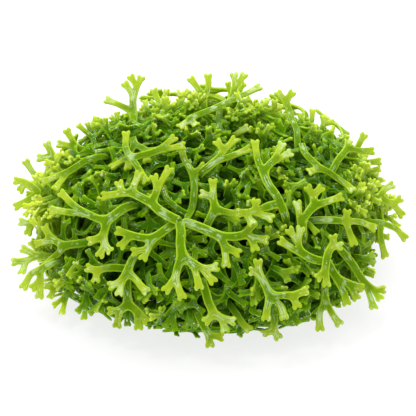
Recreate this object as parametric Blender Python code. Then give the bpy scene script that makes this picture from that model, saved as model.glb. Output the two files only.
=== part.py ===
"""Crystalwort: a cushion of forked, strap-like liverwort thalli resting on a small flat spot.

Everything is in metres with +Z up. The origin is the middle of the flat resting spot on the floor.
The packed mass of small thalli is one lumpy, pitted solid, and each large thallus that lies over it
or stands out from its edge is a ribbon of its own, forked in twos and ending in notched lobes.
"""

import math
import random

import bmesh
import bpy
from mathutils import Matrix, Vector
from mathutils.bvhtree import BVHTree

MM = 0.001

# The cushion: an ellipsoid whose widest level lies a little above the floor.
DOME_HALF_WIDTH = 23.0 * MM
DOME_HALF_DEPTH = 22.0 * MM
DOME_RISE = 14.2 * MM
DOME_DROP = 7.0 * MM
WAIST_HEIGHT = 5.0 * MM
MIDDLE = Vector((0.0, 0.0, WAIST_HEIGHT))

# The ribbons, whose ends are notched lobes. Webs widen the forks. Storeys keep crossings apart.
RIBBON_WIDTH = 0.92 * MM
RIBBON_THICKNESS = 0.32 * MM
LOBE_WIDTH = 1.12 * MM
LOBE_REACH = 0.20 * MM
TIP_SPACING = 1.3 * MM
NOTCH_DEPTH = 0.26 * MM
WEB_REACH = 0.98 * MM
STOREY_HEIGHT = 0.75 * MM
ROOT_DIVE = 0.45 * MM
TIP_RISE = 0.30 * MM
FLOOR_CLEARANCE = 0.35 * MM
FLOOR_GAP = 0.1 * MM

# The most of an arm that the web at one of its ends takes, and the least sine or cosine divided by.
ARM_SHARE = 0.46
LEAST_SLOPE = 0.2

# How much a ribbon's face follows the cushion, the rest facing the traced view.
FACE_FOLLOWS_DOME = 0.6

# How steeply an arm may run away from the viewer, lying on the cushion or standing past its edge.
LYING_SLOPE = 1.6
STANDING_SLOPE = 0.45

# Edges that turn more than this are drawn crisp.
SHARP_ANGLE = math.radians(40.0)

# The packed mass under the ribbons: a flat foot, then ridges round pits, and stubby lobes.
TANGLE_DEPTH = 1.1 * MM
TANGLE_POINTS = 235
TANGLE_SEED = 5
FOOT_POINTS = 30
FOOT_BAND = 0.12
LUMP_HEIGHT = 0.45 * MM
RIDGE_HALF_WIDTH = 0.42 * MM
RIDGE_SHARE = 0.6
PIT_DEPTH = 1.5 * MM
PIT_SHARE = 0.62
LOBE_LENGTH = 1.9 * MM
STALK_HALF_WIDTH = 0.42 * MM
STALK_SHARE = 0.6
STALK_TAPER = 0.08 * MM
LOBE_ROOM = 1.1 * MM
ROOM_SHARES = (0.3, 0.65, 1.0)

# How far the packed mass keeps from the ribbons, and the steps that it is drawn in by.
TANGLE_CLEARANCE = 0.6 * MM
RIBBON_CLEARANCE = 0.4 * MM
TANGLE_STEP = 0.3 * MM
WITHDRAW_STEPS = 14

# The view that the traced ribbons are read in, with pixels of the 416 x 416 frame.
VIEW_ELEVATION = math.radians(32.0)
VIEW_DISTANCE = 135.0 * MM
VIEW_FOCAL = 1050.0
VIEW_TARGET = Vector((0.0, 0.0, 6.0 * MM))
VIEW_CENTRE = (209.0, 211.0)
VIEW_BACK = Vector((0.0, -math.cos(VIEW_ELEVATION), math.sin(VIEW_ELEVATION)))
VIEW_UP = Vector((0.0, math.sin(VIEW_ELEVATION), math.cos(VIEW_ELEVATION)))
VIEW_EYE = VIEW_TARGET + VIEW_BACK * VIEW_DISTANCE

# Each traced thallus: the storey it lies on, then its tree of points in the view, root first.
# A point is (across, down, arm, arm, ...): no arm is a lobe, one a bend, two a fork.
TRACED = {
    "thallus_heart_west": (3, (174, 219, (163, 213, (152, 203,
        (131, 192, (139, 174), (123, 193, (104, 196), (119, 183))),
        (158, 186, (169, 169), (154, 177)))))),
    "thallus_heart_southwest": (2, (170, 226, (160, 234, (151, 239,
        (131, 235, (118, 231), (121, 246)),
        (147, 250, (134, 252), (143, 258)))))),
    "thallus_heart_south": (3, (180, 226, (180, 241, (182, 257,
        (177, 269, (175, 280, (166, 290), (182, 297))),
        (195, 265, (199, 287), (204, 270, (216, 267), (213, 281))))))),
    "thallus_heart_east": (2, (189, 223, (204, 229, (222, 237,
        (225, 247, (226, 265), (238, 253)),
        (240, 236, (246, 234, (253, 224), (252, 238, (266, 240), (255, 249)))))))),
    "thallus_bright_cross": (4, (277, 204, (264, 208, (256, 211,
        (256, 202), (246, 213, (239, 213), (252, 223)), (271, 218))))),
    "thallus_tall_fork": (3, (285, 214, (279, 200, (268, 185, (263, 172,
        (257, 160, (255, 142)), (275, 160, (282, 144), (290, 153))))))),
    "thallus_crown_low": (2, (204, 170, (211, 165, (218, 159,
        (224, 151, (217, 142), (235, 139)), (234, 155, (249, 149)))))),
    "thallus_crown_stem": (0, (192, 209, (194, 194, (193, 175,
        (184, 160, (182, 150)), (204, 166))))),
    "thallus_middle_fork": (1, (208, 223, (215, 209,
        (213, 197, (202, 194), (213, 181)), (229, 213, (238, 214))))),
    "thallus_east_long": (2, (303, 235, (301, 220,
        (297, 203), (308, 212, (315, 205,
            (313, 195, (308, 188), (321, 188)), (341, 197)))))),
    "thallus_east_low": (3, (316, 260, (308, 257, (299, 251,
        (290, 247, (281, 241)), (297, 240, (291, 230), (299, 229)))))),
    "thallus_east_bar": (1, (317, 220, (331, 220, (346, 221,
        (347, 212), (349, 232, (351, 245), (356, 242)), (362, 222, (374, 228)))))),
    "thallus_east_hub": (3, (326, 262, (328, 251, (334, 245, (333, 237), (340, 246))),
        (325, 272, (318, 278), (326, 284)))),
    "thallus_southeast_fan": (2, (331, 269, (338, 280, (344, 292, (344, 305), (349, 301)),
        (350, 284, (361, 289), (357, 297))))),
    "thallus_southeast_reach": (1, (351, 262, (359, 275, (368, 286,
        (371, 299, (371, 309), (376, 305)), (375, 291, (383, 290), (380, 298)))))),
    "thallus_south_pair": (1, (325, 287, (325, 302,
        (319, 316, (317, 330), (323, 327)), (332, 314, (341, 321), (337, 326))))),
    "thallus_south_hub": (3, (271, 297, (264, 282, (258, 272, (252, 270), (257, 263))),
        (267, 308, (266, 318)), (281, 305, (284, 317)),
        (286, 295, (293, 296, (305, 291), (297, 306))))),
    "thallus_south_middle": (2, (204, 287, (208, 302, (214, 314,
        (206, 321), (223, 319, (233, 321), (225, 330)))))),
    "thallus_floor_middle": (1, (199, 317, (206, 330, (209, 335, (210, 345), (221, 337))))),
    "thallus_floor_dark": (0, (234, 311, (242, 323, (246, 331), (251, 327)))),
    "thallus_floor_east": (0, (273, 309, (275, 322, (273, 330,
        (264, 333), (278, 337))))),
    "thallus_southwest_tall": (1, (127, 279, (127, 291, (128, 305,
        (119, 311, (110, 311), (117, 326)), (138, 311, (139, 327), (146, 321)))))),
    "thallus_southwest_hub": (2, (132, 260, (127, 272,
        (121, 283, (111, 286), (119, 293)), (146, 291)))),
    "thallus_southwest_arm": (1, (121, 268, (108, 267, (97, 271,
        (88, 268), (96, 280))))),
    "thallus_west_fork": (2, (129, 206, (116, 214, (106, 221,
        (92, 216, (83, 212, (61, 193), (52, 210))),
        (103, 237, (90, 241), (105, 246, (100, 255), (110, 251))))))),
    "thallus_west_long": (0, (92, 241, (77, 244, (64, 246,
        (51, 239, (45, 227), (36, 244)), (54, 257, (45, 265)))))),
    "thallus_west_fan": (2, (46, 266, (39, 271,
        (31, 273, (21, 284), (26, 290)), (41, 280, (33, 288), (39, 296))))),
    "thallus_west_edge": (0, (48, 257, (36, 256,
        (23, 249), (25, 261, (14, 262), (22, 272))))),
    "thallus_west_tuft": (0, (46, 220, (31, 224, (21, 222), (28, 233)))),
    "thallus_west_spray": (0, (40, 193,
        (26, 201, (17, 203), (15, 210)), (26, 182, (16, 181), (20, 190)))),
    "thallus_northwest_spur": (0, (40, 180, (33, 173, (26, 162)))),
    "thallus_northwest_fork": (0, (64, 164, (53, 157, (47, 144), (39, 158)))),
    "thallus_northwest_pair": (0, (87, 151, (75, 146, (67, 131), (59, 144)))),
    "thallus_northwest_arm": (1, (98, 157, (81, 163, (66, 173, (56, 188), (43, 182))))),
    "thallus_north_mast": (0, (133, 122, (133, 111, (120, 105, (107, 100)),
        (134, 94, (125, 84), (137, 85, (131, 77), (141, 78)))))),
    "thallus_crown_west": (2, (131, 158, (126, 150, (126, 133)),
        (149, 154, (162, 149, (174, 138), (183, 146))), (138, 168, (146, 181)))),
    "thallus_crown_spur": (0, (168, 110, (157, 99, (151, 91), (157, 90)))),
    "thallus_north_posts": (0, (204, 106, (204, 97,
        (198, 88, (191, 79)), (209, 87, (208, 76))))),
    "thallus_north_crest": (0, (226, 106, (232, 97,
        (236, 85, (235, 75), (243, 75)), (244, 95, (259, 87))))),
    "thallus_north_ribbon": (1, (236, 99, (221, 105, (205, 112, (190, 119,
        (180, 127), (196, 125)))))),
    "thallus_crown_drop": (0, (220, 108, (219, 120, (220, 131,
        (212, 140), (231, 137, (247, 128)))))),
    "thallus_northeast_mast": (0, (298, 148, (297, 130, (290, 112, (285, 101,
        (278, 93), (292, 93)))))),
    "thallus_northeast_arc": (1, (302, 144, (308, 157, (319, 168,
        (333, 175, (346, 184, (352, 190))), (309, 172))))),
    "thallus_northeast_fork": (1, (334, 168, (341, 156, (347, 149,
        (348, 141), (360, 151, (371, 148), (373, 154)))))),
    "thallus_northeast_spur": (0, (354, 155, (359, 144, (361, 134), (367, 137)))),
    "thallus_east_spur": (0, (357, 163, (370, 162, (378, 158), (380, 165)))),
    "thallus_east_spray": (0, (372, 199, (380, 198,
        (383, 190, (392, 185)), (393, 204, (400, 199), (402, 215))))),
    "thallus_east_foot": (0, (369, 222, (380, 222,
        (396, 228, (405, 238)), (381, 240, (385, 256))))),
}

# The thalli on the far side follow a rule: rows round the back, each plant grown from its own seed.
# A row is (name, count, first and last bearing in degrees from +X, height angle, storey, seed).
GROWN_ROWS = (
    ("thallus_rear_low", 5, 18.0, 138.0, 4.0, 0, 100),
    ("thallus_rear_high", 4, 18.0, 99.0, 42.0, 1, 200),
    ("thallus_rear_crown", 2, 75.0, 190.0, 66.0, 0, 300),
)
GROWN_STEP = 2.5 * MM
GROWN_FORKS = 2
FORK_HALF_ANGLE = math.radians(31.0)
FORK_SHRINK = 0.86
TURN_PLAY = 0.16
STEP_PLAY = (0.9, 1.15)
ROW_PLAY = 5.0
CLIMB_PLAY = 0.5

# Colour, roughness and metallic value of each material.
LARGE_THALLUS_LOOK = ((0.30, 0.47, 0.02, 1.0), 0.38, 0.0)
TANGLE_LOOK = ((0.05, 0.14, 0.008, 1.0), 0.45, 0.0)


class Joint:
    """A point of a thallus: where it is, which way its face looks, and what grows on from it."""

    def __init__(self, place, face, arms):
        self.place = place
        self.face = face
        self.arms = arms


def dome_scale(height, lift):
    """The three half sizes of the cushion, raised by lift, at a height above or below its waist."""
    rise = DOME_RISE if height >= WAIST_HEIGHT else DOME_DROP
    return DOME_HALF_WIDTH + lift, DOME_HALF_DEPTH + lift, rise + lift


def dome_face(place):
    """The direction straight out of the cushion at a place on or near it."""
    wide, deep, tall = dome_scale(place.z, 0.0)
    out = Vector((place.x / wide ** 2, place.y / deep ** 2, (place.z - WAIST_HEIGHT) / tall ** 2))
    return out.normalized()


def sight_ray(across, down):
    """The unit direction from the view's eye through a pixel."""
    side = (across - VIEW_CENTRE[0]) / VIEW_FOCAL
    rise = (VIEW_CENTRE[1] - down) / VIEW_FOCAL
    return (Vector((side, 0.0, 0.0)) + VIEW_UP * rise - VIEW_BACK).normalized()


def on_sight(across, down, lift, parent=None):
    """The place on the raised cushion that a pixel shows, or the nearest to it on the sight line.

    An arm never runs back from its parent more steeply than a ribbon lying level does, and one that
    stands out past the cushion's edge stays nearly as far away as the point that it grows from.
    """
    ray = sight_ray(across, down)
    chosen = 0.0
    outside = False
    for rise in (DOME_RISE, DOME_DROP):
        wide, deep, tall = DOME_HALF_WIDTH + lift, DOME_HALF_DEPTH + lift, rise + lift
        start = Vector((VIEW_EYE.x / wide, VIEW_EYE.y / deep, (VIEW_EYE.z - WAIST_HEIGHT) / tall))
        step = Vector((ray.x / wide, ray.y / deep, ray.z / tall))
        along = -start.dot(step) / step.dot(step)
        miss = (start + step * along).length
        if miss < 1.0:
            along -= math.sqrt((1.0 - miss ** 2) / step.dot(step))
        along -= lift * min(miss, 1.0) ** 4
        above = (VIEW_EYE + ray * along).z >= WAIST_HEIGHT
        if chosen == 0.0 or above == (rise == DOME_RISE):
            chosen = along
            outside = miss >= 1.0
    if parent is not None:
        level = (parent - VIEW_EYE).dot(ray)
        aside = (parent - VIEW_EYE - ray * level).length
        slack = aside * (STANDING_SLOPE if outside else LYING_SLOPE)
        chosen = min(max(chosen, level - slack), level + slack)
    place = VIEW_EYE + ray * chosen
    if place.z < FLOOR_CLEARANCE:
        place = VIEW_EYE + ray * ((FLOOR_CLEARANCE - VIEW_EYE.z) / ray.z)
    return place


def traced_joint(tree, lift, parent=None):
    """Turn one point of a traced tree, and all that grows on from it, into joints."""
    across, down, *arms = tree
    own_lift = lift
    if parent is None and len(arms) == 1:
        own_lift -= ROOT_DIVE
    if not arms:
        own_lift += TIP_RISE
    place = on_sight(across, down, own_lift, parent)
    face = dome_face(place) * FACE_FOLLOWS_DOME + (VIEW_EYE - place).normalized()
    joint = Joint(place, face.normalized(), [traced_joint(arm, lift, place) for arm in arms])
    tips = [arm for arm in joint.arms if not arm.arms]
    if len(tips) == 2:
        spread(*tips)
    return joint


def spread(first, second):
    """Move the two lobe tips of one fork evenly apart until both lobes have room."""
    between = second.place - first.place
    short = TIP_SPACING - between.length
    if short > 0.0:
        shift = between.normalized() * short / 2.0
        first.place -= shift
        second.place += shift


def grown_joint(rng, place, heading, lift, forks, step, depth=0):
    """Grow a thallus over the cushion: a stem, then forks in twos, each pair a little shorter."""
    face = dome_face(place)
    heading = (heading - face * heading.dot(face)).normalized()
    ends = []
    if forks >= 0:
        turns = (0.0,) if depth == 0 else (-FORK_HALF_ANGLE, FORK_HALF_ANGLE)
        for turn in turns:
            turn += rng.uniform(-TURN_PLAY, TURN_PLAY)
            way = Matrix.Rotation(turn, 3, face) @ heading
            reach = place + way * step * rng.uniform(*STEP_PLAY)
            rise = TIP_RISE if forks == 0 else 0.0
            reach = onto_dome(reach, lift + rise)
            shorter = step * FORK_SHRINK
            ends.append(grown_joint(rng, reach, way, lift, forks - 1, shorter, depth + 1))
    return Joint(place, face, ends)


def onto_dome(place, lift):
    """Move a place straight out from the cushion's middle until it lies on it, raised by lift."""
    wide, deep, tall = dome_scale(place.z, lift)
    out = place - MIDDLE
    size = math.sqrt((out.x / wide) ** 2 + (out.y / deep) ** 2 + (out.z / tall) ** 2)
    place = MIDDLE + out / size
    place.z = max(place.z, FLOOR_CLEARANCE)
    return place


def grown_thalli():
    """Yield the name and root joint of each thallus on the far side."""
    for name, count, first, last, height_angle, storey, seed in GROWN_ROWS:
        for index in range(count):
            rng = random.Random(seed + index)
            bearing = math.radians(first + (last - first) * index / (count - 1))
            tilt = math.radians(height_angle + rng.uniform(-ROW_PLAY, ROW_PLAY))
            lift = storey * STOREY_HEIGHT
            wide, deep, tall = dome_scale(WAIST_HEIGHT + math.sin(tilt), lift)
            place = onto_dome(Vector((
                math.cos(tilt) * math.cos(bearing) * wide,
                math.cos(tilt) * math.sin(bearing) * deep,
                WAIST_HEIGHT + math.sin(tilt) * tall,
            )), lift - ROOT_DIVE)
            level = Vector((-math.sin(bearing), math.cos(bearing), 0.0))
            heading = level + Vector((0.0, 0.0, rng.uniform(-CLIMB_PLAY, CLIMB_PLAY)))
            yield f"{name}_{index + 1}", grown_joint(
                rng, place, heading, lift, GROWN_FORKS, GROWN_STEP
            )


def crotch(joint, first, second):
    """The outline point between two arms that leave a joint, with some web where they meet sharply."""
    first_way = flattened(first.place - joint.place, joint.face)
    second_way = flattened(second.place - joint.place, joint.face)
    half_angle = turn_of(first_way, second_way, joint.face) / 2.0
    bisector = Matrix.Rotation(half_angle, 3, joint.face) @ first_way
    shorter = min((first.place - joint.place).length, (second.place - joint.place).length)
    room = ARM_SHARE * shorter / max(math.cos(half_angle), LEAST_SLOPE)
    reach = RIBBON_WIDTH / 2.0 / max(math.sin(half_angle), LEAST_SLOPE)
    return joint.place + bisector * min(reach, room, WEB_REACH)


class RibbonOutline:
    """Collects the points and faces of one flat forked ribbon, before it is given its thickness."""

    def __init__(self):
        self.points = []
        self.faces_out = []
        self.faces = []

    def add(self, place, face):
        """Add an outline point with the direction its surface looks, and return its number."""
        self.points.append(place)
        self.faces_out.append(face)
        return len(self.points) - 1

    def end_row(self, joint, way, lobe):
        """Add the end of an arm: a notched lobe, or the plain end of a root."""
        side = joint.face.cross(way).normalized()
        if not lobe:
            left = self.add(joint.place + side * RIBBON_WIDTH / 2.0, joint.face)
            right = self.add(joint.place - side * RIBBON_WIDTH / 2.0, joint.face)
            return left, None, right
        ahead = joint.place + way * LOBE_REACH
        left = self.add(ahead + side * LOBE_WIDTH / 2.0, joint.face)
        notch = self.add(ahead - way * NOTCH_DEPTH, joint.face)
        right = self.add(ahead - side * LOBE_WIDTH / 2.0, joint.face)
        return left, notch, right

    def strip(self, near_left, near_right, far):
        """Fill the arm between two outline points at a joint and the row at its other end."""
        left, notch, right = far
        if notch is None:
            self.faces.append((near_left, near_right, right, left))
            return
        self.faces.append((near_left, notch, left))
        self.faces.append((near_left, near_right, notch))
        self.faces.append((near_right, right, notch))

    def grow(self, joint, parent=None):
        """Add a joint and all its arms, and return the outline points that face its parent."""
        if parent is None and len(joint.arms) == 1:
            way = (joint.place - joint.arms[0].place).normalized()
            left, notch, right = self.end_row(joint, way, False)
            near_right, near_left = self.grow(joint.arms[0], joint)
            self.strip(near_left, near_right, (left, notch, right))
            return None
        if not joint.arms:
            return self.end_row(joint, (joint.place - parent.place).normalized(), True)
        return self.hub(joint, parent)

    def hub(self, joint, parent):
        """Add a bend, a fork or a hub: one outline point between each two neighbouring arms."""
        face = joint.face
        others = list(joint.arms) if parent is None else [parent, *joint.arms]
        ways = [flattened(other.place - joint.place, face) for other in others]
        turns = [turn_of(ways[0], way, face) for way in ways]
        order = sorted(range(len(others)), key=lambda index: turns[index])
        ring = []
        for index, current in enumerate(order):
            following = order[(index + 1) % len(order)]
            ring.append(self.add(crotch(joint, others[current], others[following]), face))
        if len(ring) > 2:
            self.faces.append(tuple(ring))
        towards_parent = None
        for index, current in enumerate(order):
            right, left = ring[index - 1], ring[index]
            if others[current] is parent:
                towards_parent = (right, left)
                continue
            far = self.grow(others[current], joint)
            if others[current].arms:
                self.strip(left, right, (far[0], None, far[1]))
            else:
                self.strip(left, right, far)
        return towards_parent


def flattened(way, face):
    """The unit direction of way within the plane that face looks out of."""
    return (way - face * way.dot(face)).normalized()


def turn_of(first, second, face):
    """The angle from first round to second about face, from 0 to a full turn."""
    angle = math.atan2(face.dot(first.cross(second)), first.dot(second))
    return angle % (2.0 * math.pi)


def ribbon_mesh(name, root):
    """Give a thallus's outline its thickness, as one closed mesh."""
    outline = RibbonOutline()
    outline.grow(root)
    shell = bmesh.new()
    layers = []
    for side in (0.5, -0.5):
        layers.append([
            shell.verts.new(place + face * RIBBON_THICKNESS * side)
            for place, face in zip(outline.points, outline.faces_out)
        ])
    upper, lower = layers
    edges = set()
    for corners in outline.faces:
        shell.faces.new([upper[corner] for corner in corners])
        shell.faces.new([lower[corner] for corner in reversed(corners)])
        edges.update(zip(corners, corners[1:] + corners[:1]))
    for start, end in sorted(edges):
        if (end, start) not in edges:
            shell.faces.new((upper[end], upper[start], lower[start], lower[end]))
    lowest = min(vert.co.z for vert in shell.verts)
    if lowest < FLOOR_GAP:
        bmesh.ops.translate(shell, verts=shell.verts, vec=(0.0, 0.0, FLOOR_GAP - lowest))
    return finished_mesh(name, shell)


def finished_mesh(name, shell):
    """Turn a bmesh into a smooth-shaded mesh with crisp edges, and free the bmesh."""
    mesh = bpy.data.meshes.new(name)
    shell.to_mesh(mesh)
    shell.free()
    mesh.shade_smooth()
    mesh.set_sharp_from_angle(angle=SHARP_ANGLE)
    return mesh


def cap_directions(lowest):
    """Evenly spread unit directions, by the golden angle, over the sphere above a level."""
    turn = math.pi * (3.0 - math.sqrt(5.0))
    for index in range(TANGLE_POINTS):
        level = 1.0 - (1.0 - lowest) * (index + 0.5) / TANGLE_POINTS
        ring = math.sqrt(1.0 - level ** 2)
        yield Vector((ring * math.cos(turn * index), ring * math.sin(turn * index), level))


def tangle_place(direction):
    """Where the packed mass's skin lies in a direction from the cushion's middle."""
    wide = DOME_HALF_WIDTH - TANGLE_DEPTH
    deep = DOME_HALF_DEPTH - TANGLE_DEPTH
    tall = DOME_RISE - TANGLE_DEPTH if direction.z >= 0.0 else DOME_DROP
    return MIDDLE + Vector((direction.x * wide, direction.y * deep, direction.z * tall))


def tangle_mesh(name, thalli, ribbon_points):
    """The packed mass: a flat-footed mound of ridges, pits and stubby lobes, clear of the ribbons.

    Every point only slides along its own ray from the middle, so the skin never passes through itself.
    """
    rng = random.Random(TANGLE_SEED)
    foot_level = -WAIST_HEIGHT / DOME_DROP
    skin = bmesh.new()
    for direction in cap_directions(foot_level + FOOT_BAND):
        skin.verts.new(tangle_place(direction))
    foot = set()
    for index in range(FOOT_POINTS):
        bearing = 2.0 * math.pi * index / FOOT_POINTS
        ring = math.sqrt(1.0 - foot_level ** 2)
        direction = Vector((ring * math.cos(bearing), ring * math.sin(bearing), foot_level))
        foot.add(skin.verts.new(tangle_place(direction)))
    bmesh.ops.convex_hull(skin, input=skin.verts)
    for vert in skin.verts:
        if vert not in foot:
            slide(vert, rng.uniform(-LUMP_HEIGHT, LUMP_HEIGHT))
    raised = [face for face in skin.faces if any(vert not in foot for vert in face.verts)]
    for face in raised:
        if rng.random() > PIT_SHARE and has_room(face, thalli):
            raise_lobe(skin, face)
        else:
            sink_pit(skin, face)
    for vert in skin.verts:
        if vert not in foot:
            withdraw(vert, thalli)
    make_way(skin, ribbon_points, foot)
    bmesh.ops.recalc_face_normals(skin, faces=skin.faces)
    return finished_mesh(name, skin)


def slide(vert, distance):
    """Move a point of the packed mass along its ray from the middle, and keep it above the floor."""
    out = vert.co - MIDDLE
    reach = out.length + distance
    if out.z < 0.0:
        reach = min(reach, (WAIST_HEIGHT - FLOOR_CLEARANCE) * out.length / -out.z)
    vert.co = MIDDLE + out.normalized() * reach


def inner_radius(face):
    """The radius of the circle that fits within a triangle."""
    return 2.0 * face.calc_area() / sum(edge.calc_length() for edge in face.edges)


def sink_pit(skin, face):
    """Sink the middle of a face of the packed mass, and leave a ridge round it."""
    ridge = min(RIDGE_HALF_WIDTH, RIDGE_SHARE * inner_radius(face))
    bmesh.ops.inset_individual(skin, faces=[face], thickness=ridge, depth=0.0)
    for vert in face.verts:
        slide(vert, -PIT_DEPTH)


def raise_lobe(skin, face):
    """Raise a stubby lobe from the middle of a face of the packed mass."""
    shoulder = inner_radius(face) - STALK_HALF_WIDTH
    for thickness, rise in (
        (shoulder, 0.0),
        (STALK_TAPER, LOBE_LENGTH * STALK_SHARE),
        (STALK_TAPER, LOBE_LENGTH * (1.0 - STALK_SHARE)),
    ):
        bmesh.ops.inset_individual(skin, faces=[face], thickness=thickness, depth=0.0)
        for vert in face.verts:
            slide(vert, rise)


def has_room(face, thalli):
    """Whether a lobe can rise from a face of the packed mass without meeting a ribbon or the floor."""
    middle = face.calc_center_median()
    if middle.z < LOBE_LENGTH or inner_radius(face) < STALK_HALF_WIDTH:
        return False
    out = (middle - MIDDLE).normalized()
    for share in ROOM_SHARES:
        if thalli.find_nearest(middle + out * LOBE_LENGTH * share)[3] < LOBE_ROOM:
            return False
    return True


def withdraw(vert, thalli):
    """Draw a point of the packed mass inwards until it is clear of every ribbon."""
    for _ in range(WITHDRAW_STEPS):
        if thalli.find_nearest(vert.co)[3] >= TANGLE_CLEARANCE:
            return
        slide(vert, -TANGLE_STEP)


def make_way(skin, ribbon_points, foot):
    """Draw in the faces of the packed mass that any point of a ribbon comes too near."""
    bmesh.ops.triangulate(skin, faces=skin.faces)
    skin.faces.ensure_lookup_table()
    for _ in range(WITHDRAW_STEPS):
        tree = BVHTree.FromBMesh(skin)
        crowded = set()
        for point in ribbon_points:
            _, _, number, distance = tree.find_nearest(point)
            if distance < RIBBON_CLEARANCE:
                crowded.update(skin.faces[number].verts)
        for vert in crowded - foot:
            slide(vert, -TANGLE_STEP)


def plant_material(name, look):
    """A material of one colour, roughness and metallic value."""
    colour, roughness, metallic = look
    material = bpy.data.materials.new(name)
    material.use_nodes = True
    shader = material.node_tree.nodes["Principled BSDF"]
    shader.inputs["Base Color"].default_value = colour
    shader.inputs["Roughness"].default_value = roughness
    shader.inputs["Metallic"].default_value = metallic
    material.diffuse_color = colour
    return material


def add_piece(name, mesh, material, clump):
    """Make the object of one sub-part and hang it on the clump."""
    piece = bpy.data.objects.new(name, mesh)
    piece.data.materials.append(material)
    bpy.context.scene.collection.objects.link(piece)
    piece.parent = clump
    return piece


def main():
    """Clear the scene and build the crystalwort."""
    for old in list(bpy.data.objects):
        bpy.data.objects.remove(old, do_unlink=True)
    clump = bpy.data.objects.new("crystalwort", None)
    bpy.context.scene.collection.objects.link(clump)
    roots = {
        name: traced_joint(tree, storey * STOREY_HEIGHT)
        for name, (storey, tree) in TRACED.items()
    }
    roots.update(grown_thalli())
    large_material = plant_material("large_thallus", LARGE_THALLUS_LOOK)
    joined = bmesh.new()
    for name, root in roots.items():
        mesh = ribbon_mesh(name, root)
        joined.from_mesh(mesh)
        add_piece(name, mesh, large_material, clump)
    thalli = BVHTree.FromBMesh(joined)
    ribbon_points = [vert.co.copy() for vert in joined.verts]
    ribbon_points += [(edge.verts[0].co + edge.verts[1].co) / 2.0 for edge in joined.edges]
    joined.free()
    tangle_material = plant_material("packed_thalli", TANGLE_LOOK)
    tangle = tangle_mesh("tangle", thalli, ribbon_points)
    add_piece("tangle", tangle, tangle_material, clump)


main()
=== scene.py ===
"""The looks of the crystalwort: forked, wet ribbons over a packed cushion, on a pale studio floor.

Everything is in metres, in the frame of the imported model. Each large thallus takes the place of its own
node, along the same points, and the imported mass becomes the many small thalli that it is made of.
"""

import logging
import math
import random
from dataclasses import dataclass, field, replace
from enum import Enum
from typing import Iterator, NamedTuple, Sequence

import bmesh
import bpy
from bpy.types import ID, Material, Mesh, Node, NodeOutputs, NodeSocket, NodeTree, Object, World
from mathutils import Matrix, Vector, noise
from mathutils.bvhtree import BVHTree


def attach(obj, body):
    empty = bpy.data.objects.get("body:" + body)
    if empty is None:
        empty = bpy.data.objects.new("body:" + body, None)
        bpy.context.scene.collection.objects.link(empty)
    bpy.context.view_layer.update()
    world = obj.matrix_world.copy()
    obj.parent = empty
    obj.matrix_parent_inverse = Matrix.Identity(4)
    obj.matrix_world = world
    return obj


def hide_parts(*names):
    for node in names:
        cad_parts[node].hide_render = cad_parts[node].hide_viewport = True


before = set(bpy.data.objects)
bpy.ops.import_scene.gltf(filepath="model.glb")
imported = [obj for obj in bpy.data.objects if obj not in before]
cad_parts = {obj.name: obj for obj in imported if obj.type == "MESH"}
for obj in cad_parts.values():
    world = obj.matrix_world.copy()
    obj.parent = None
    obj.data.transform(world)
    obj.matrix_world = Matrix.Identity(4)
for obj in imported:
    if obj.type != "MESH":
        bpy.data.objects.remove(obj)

log = logging.getLogger("crystalwort")

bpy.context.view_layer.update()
MM = 0.001
FRAME_PIXELS = 416
FLOOR_GAP = 0.1 * MM
BLACK = (0.0, 0.0, 0.0, 1.0)
WHITE = (1.0, 1.0, 1.0, 1.0)

Pair = tuple[float, float]
Triple = tuple[float, float, float]
Row = tuple[int, int, int]
Colour = tuple[float, float, float, float]

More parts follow.
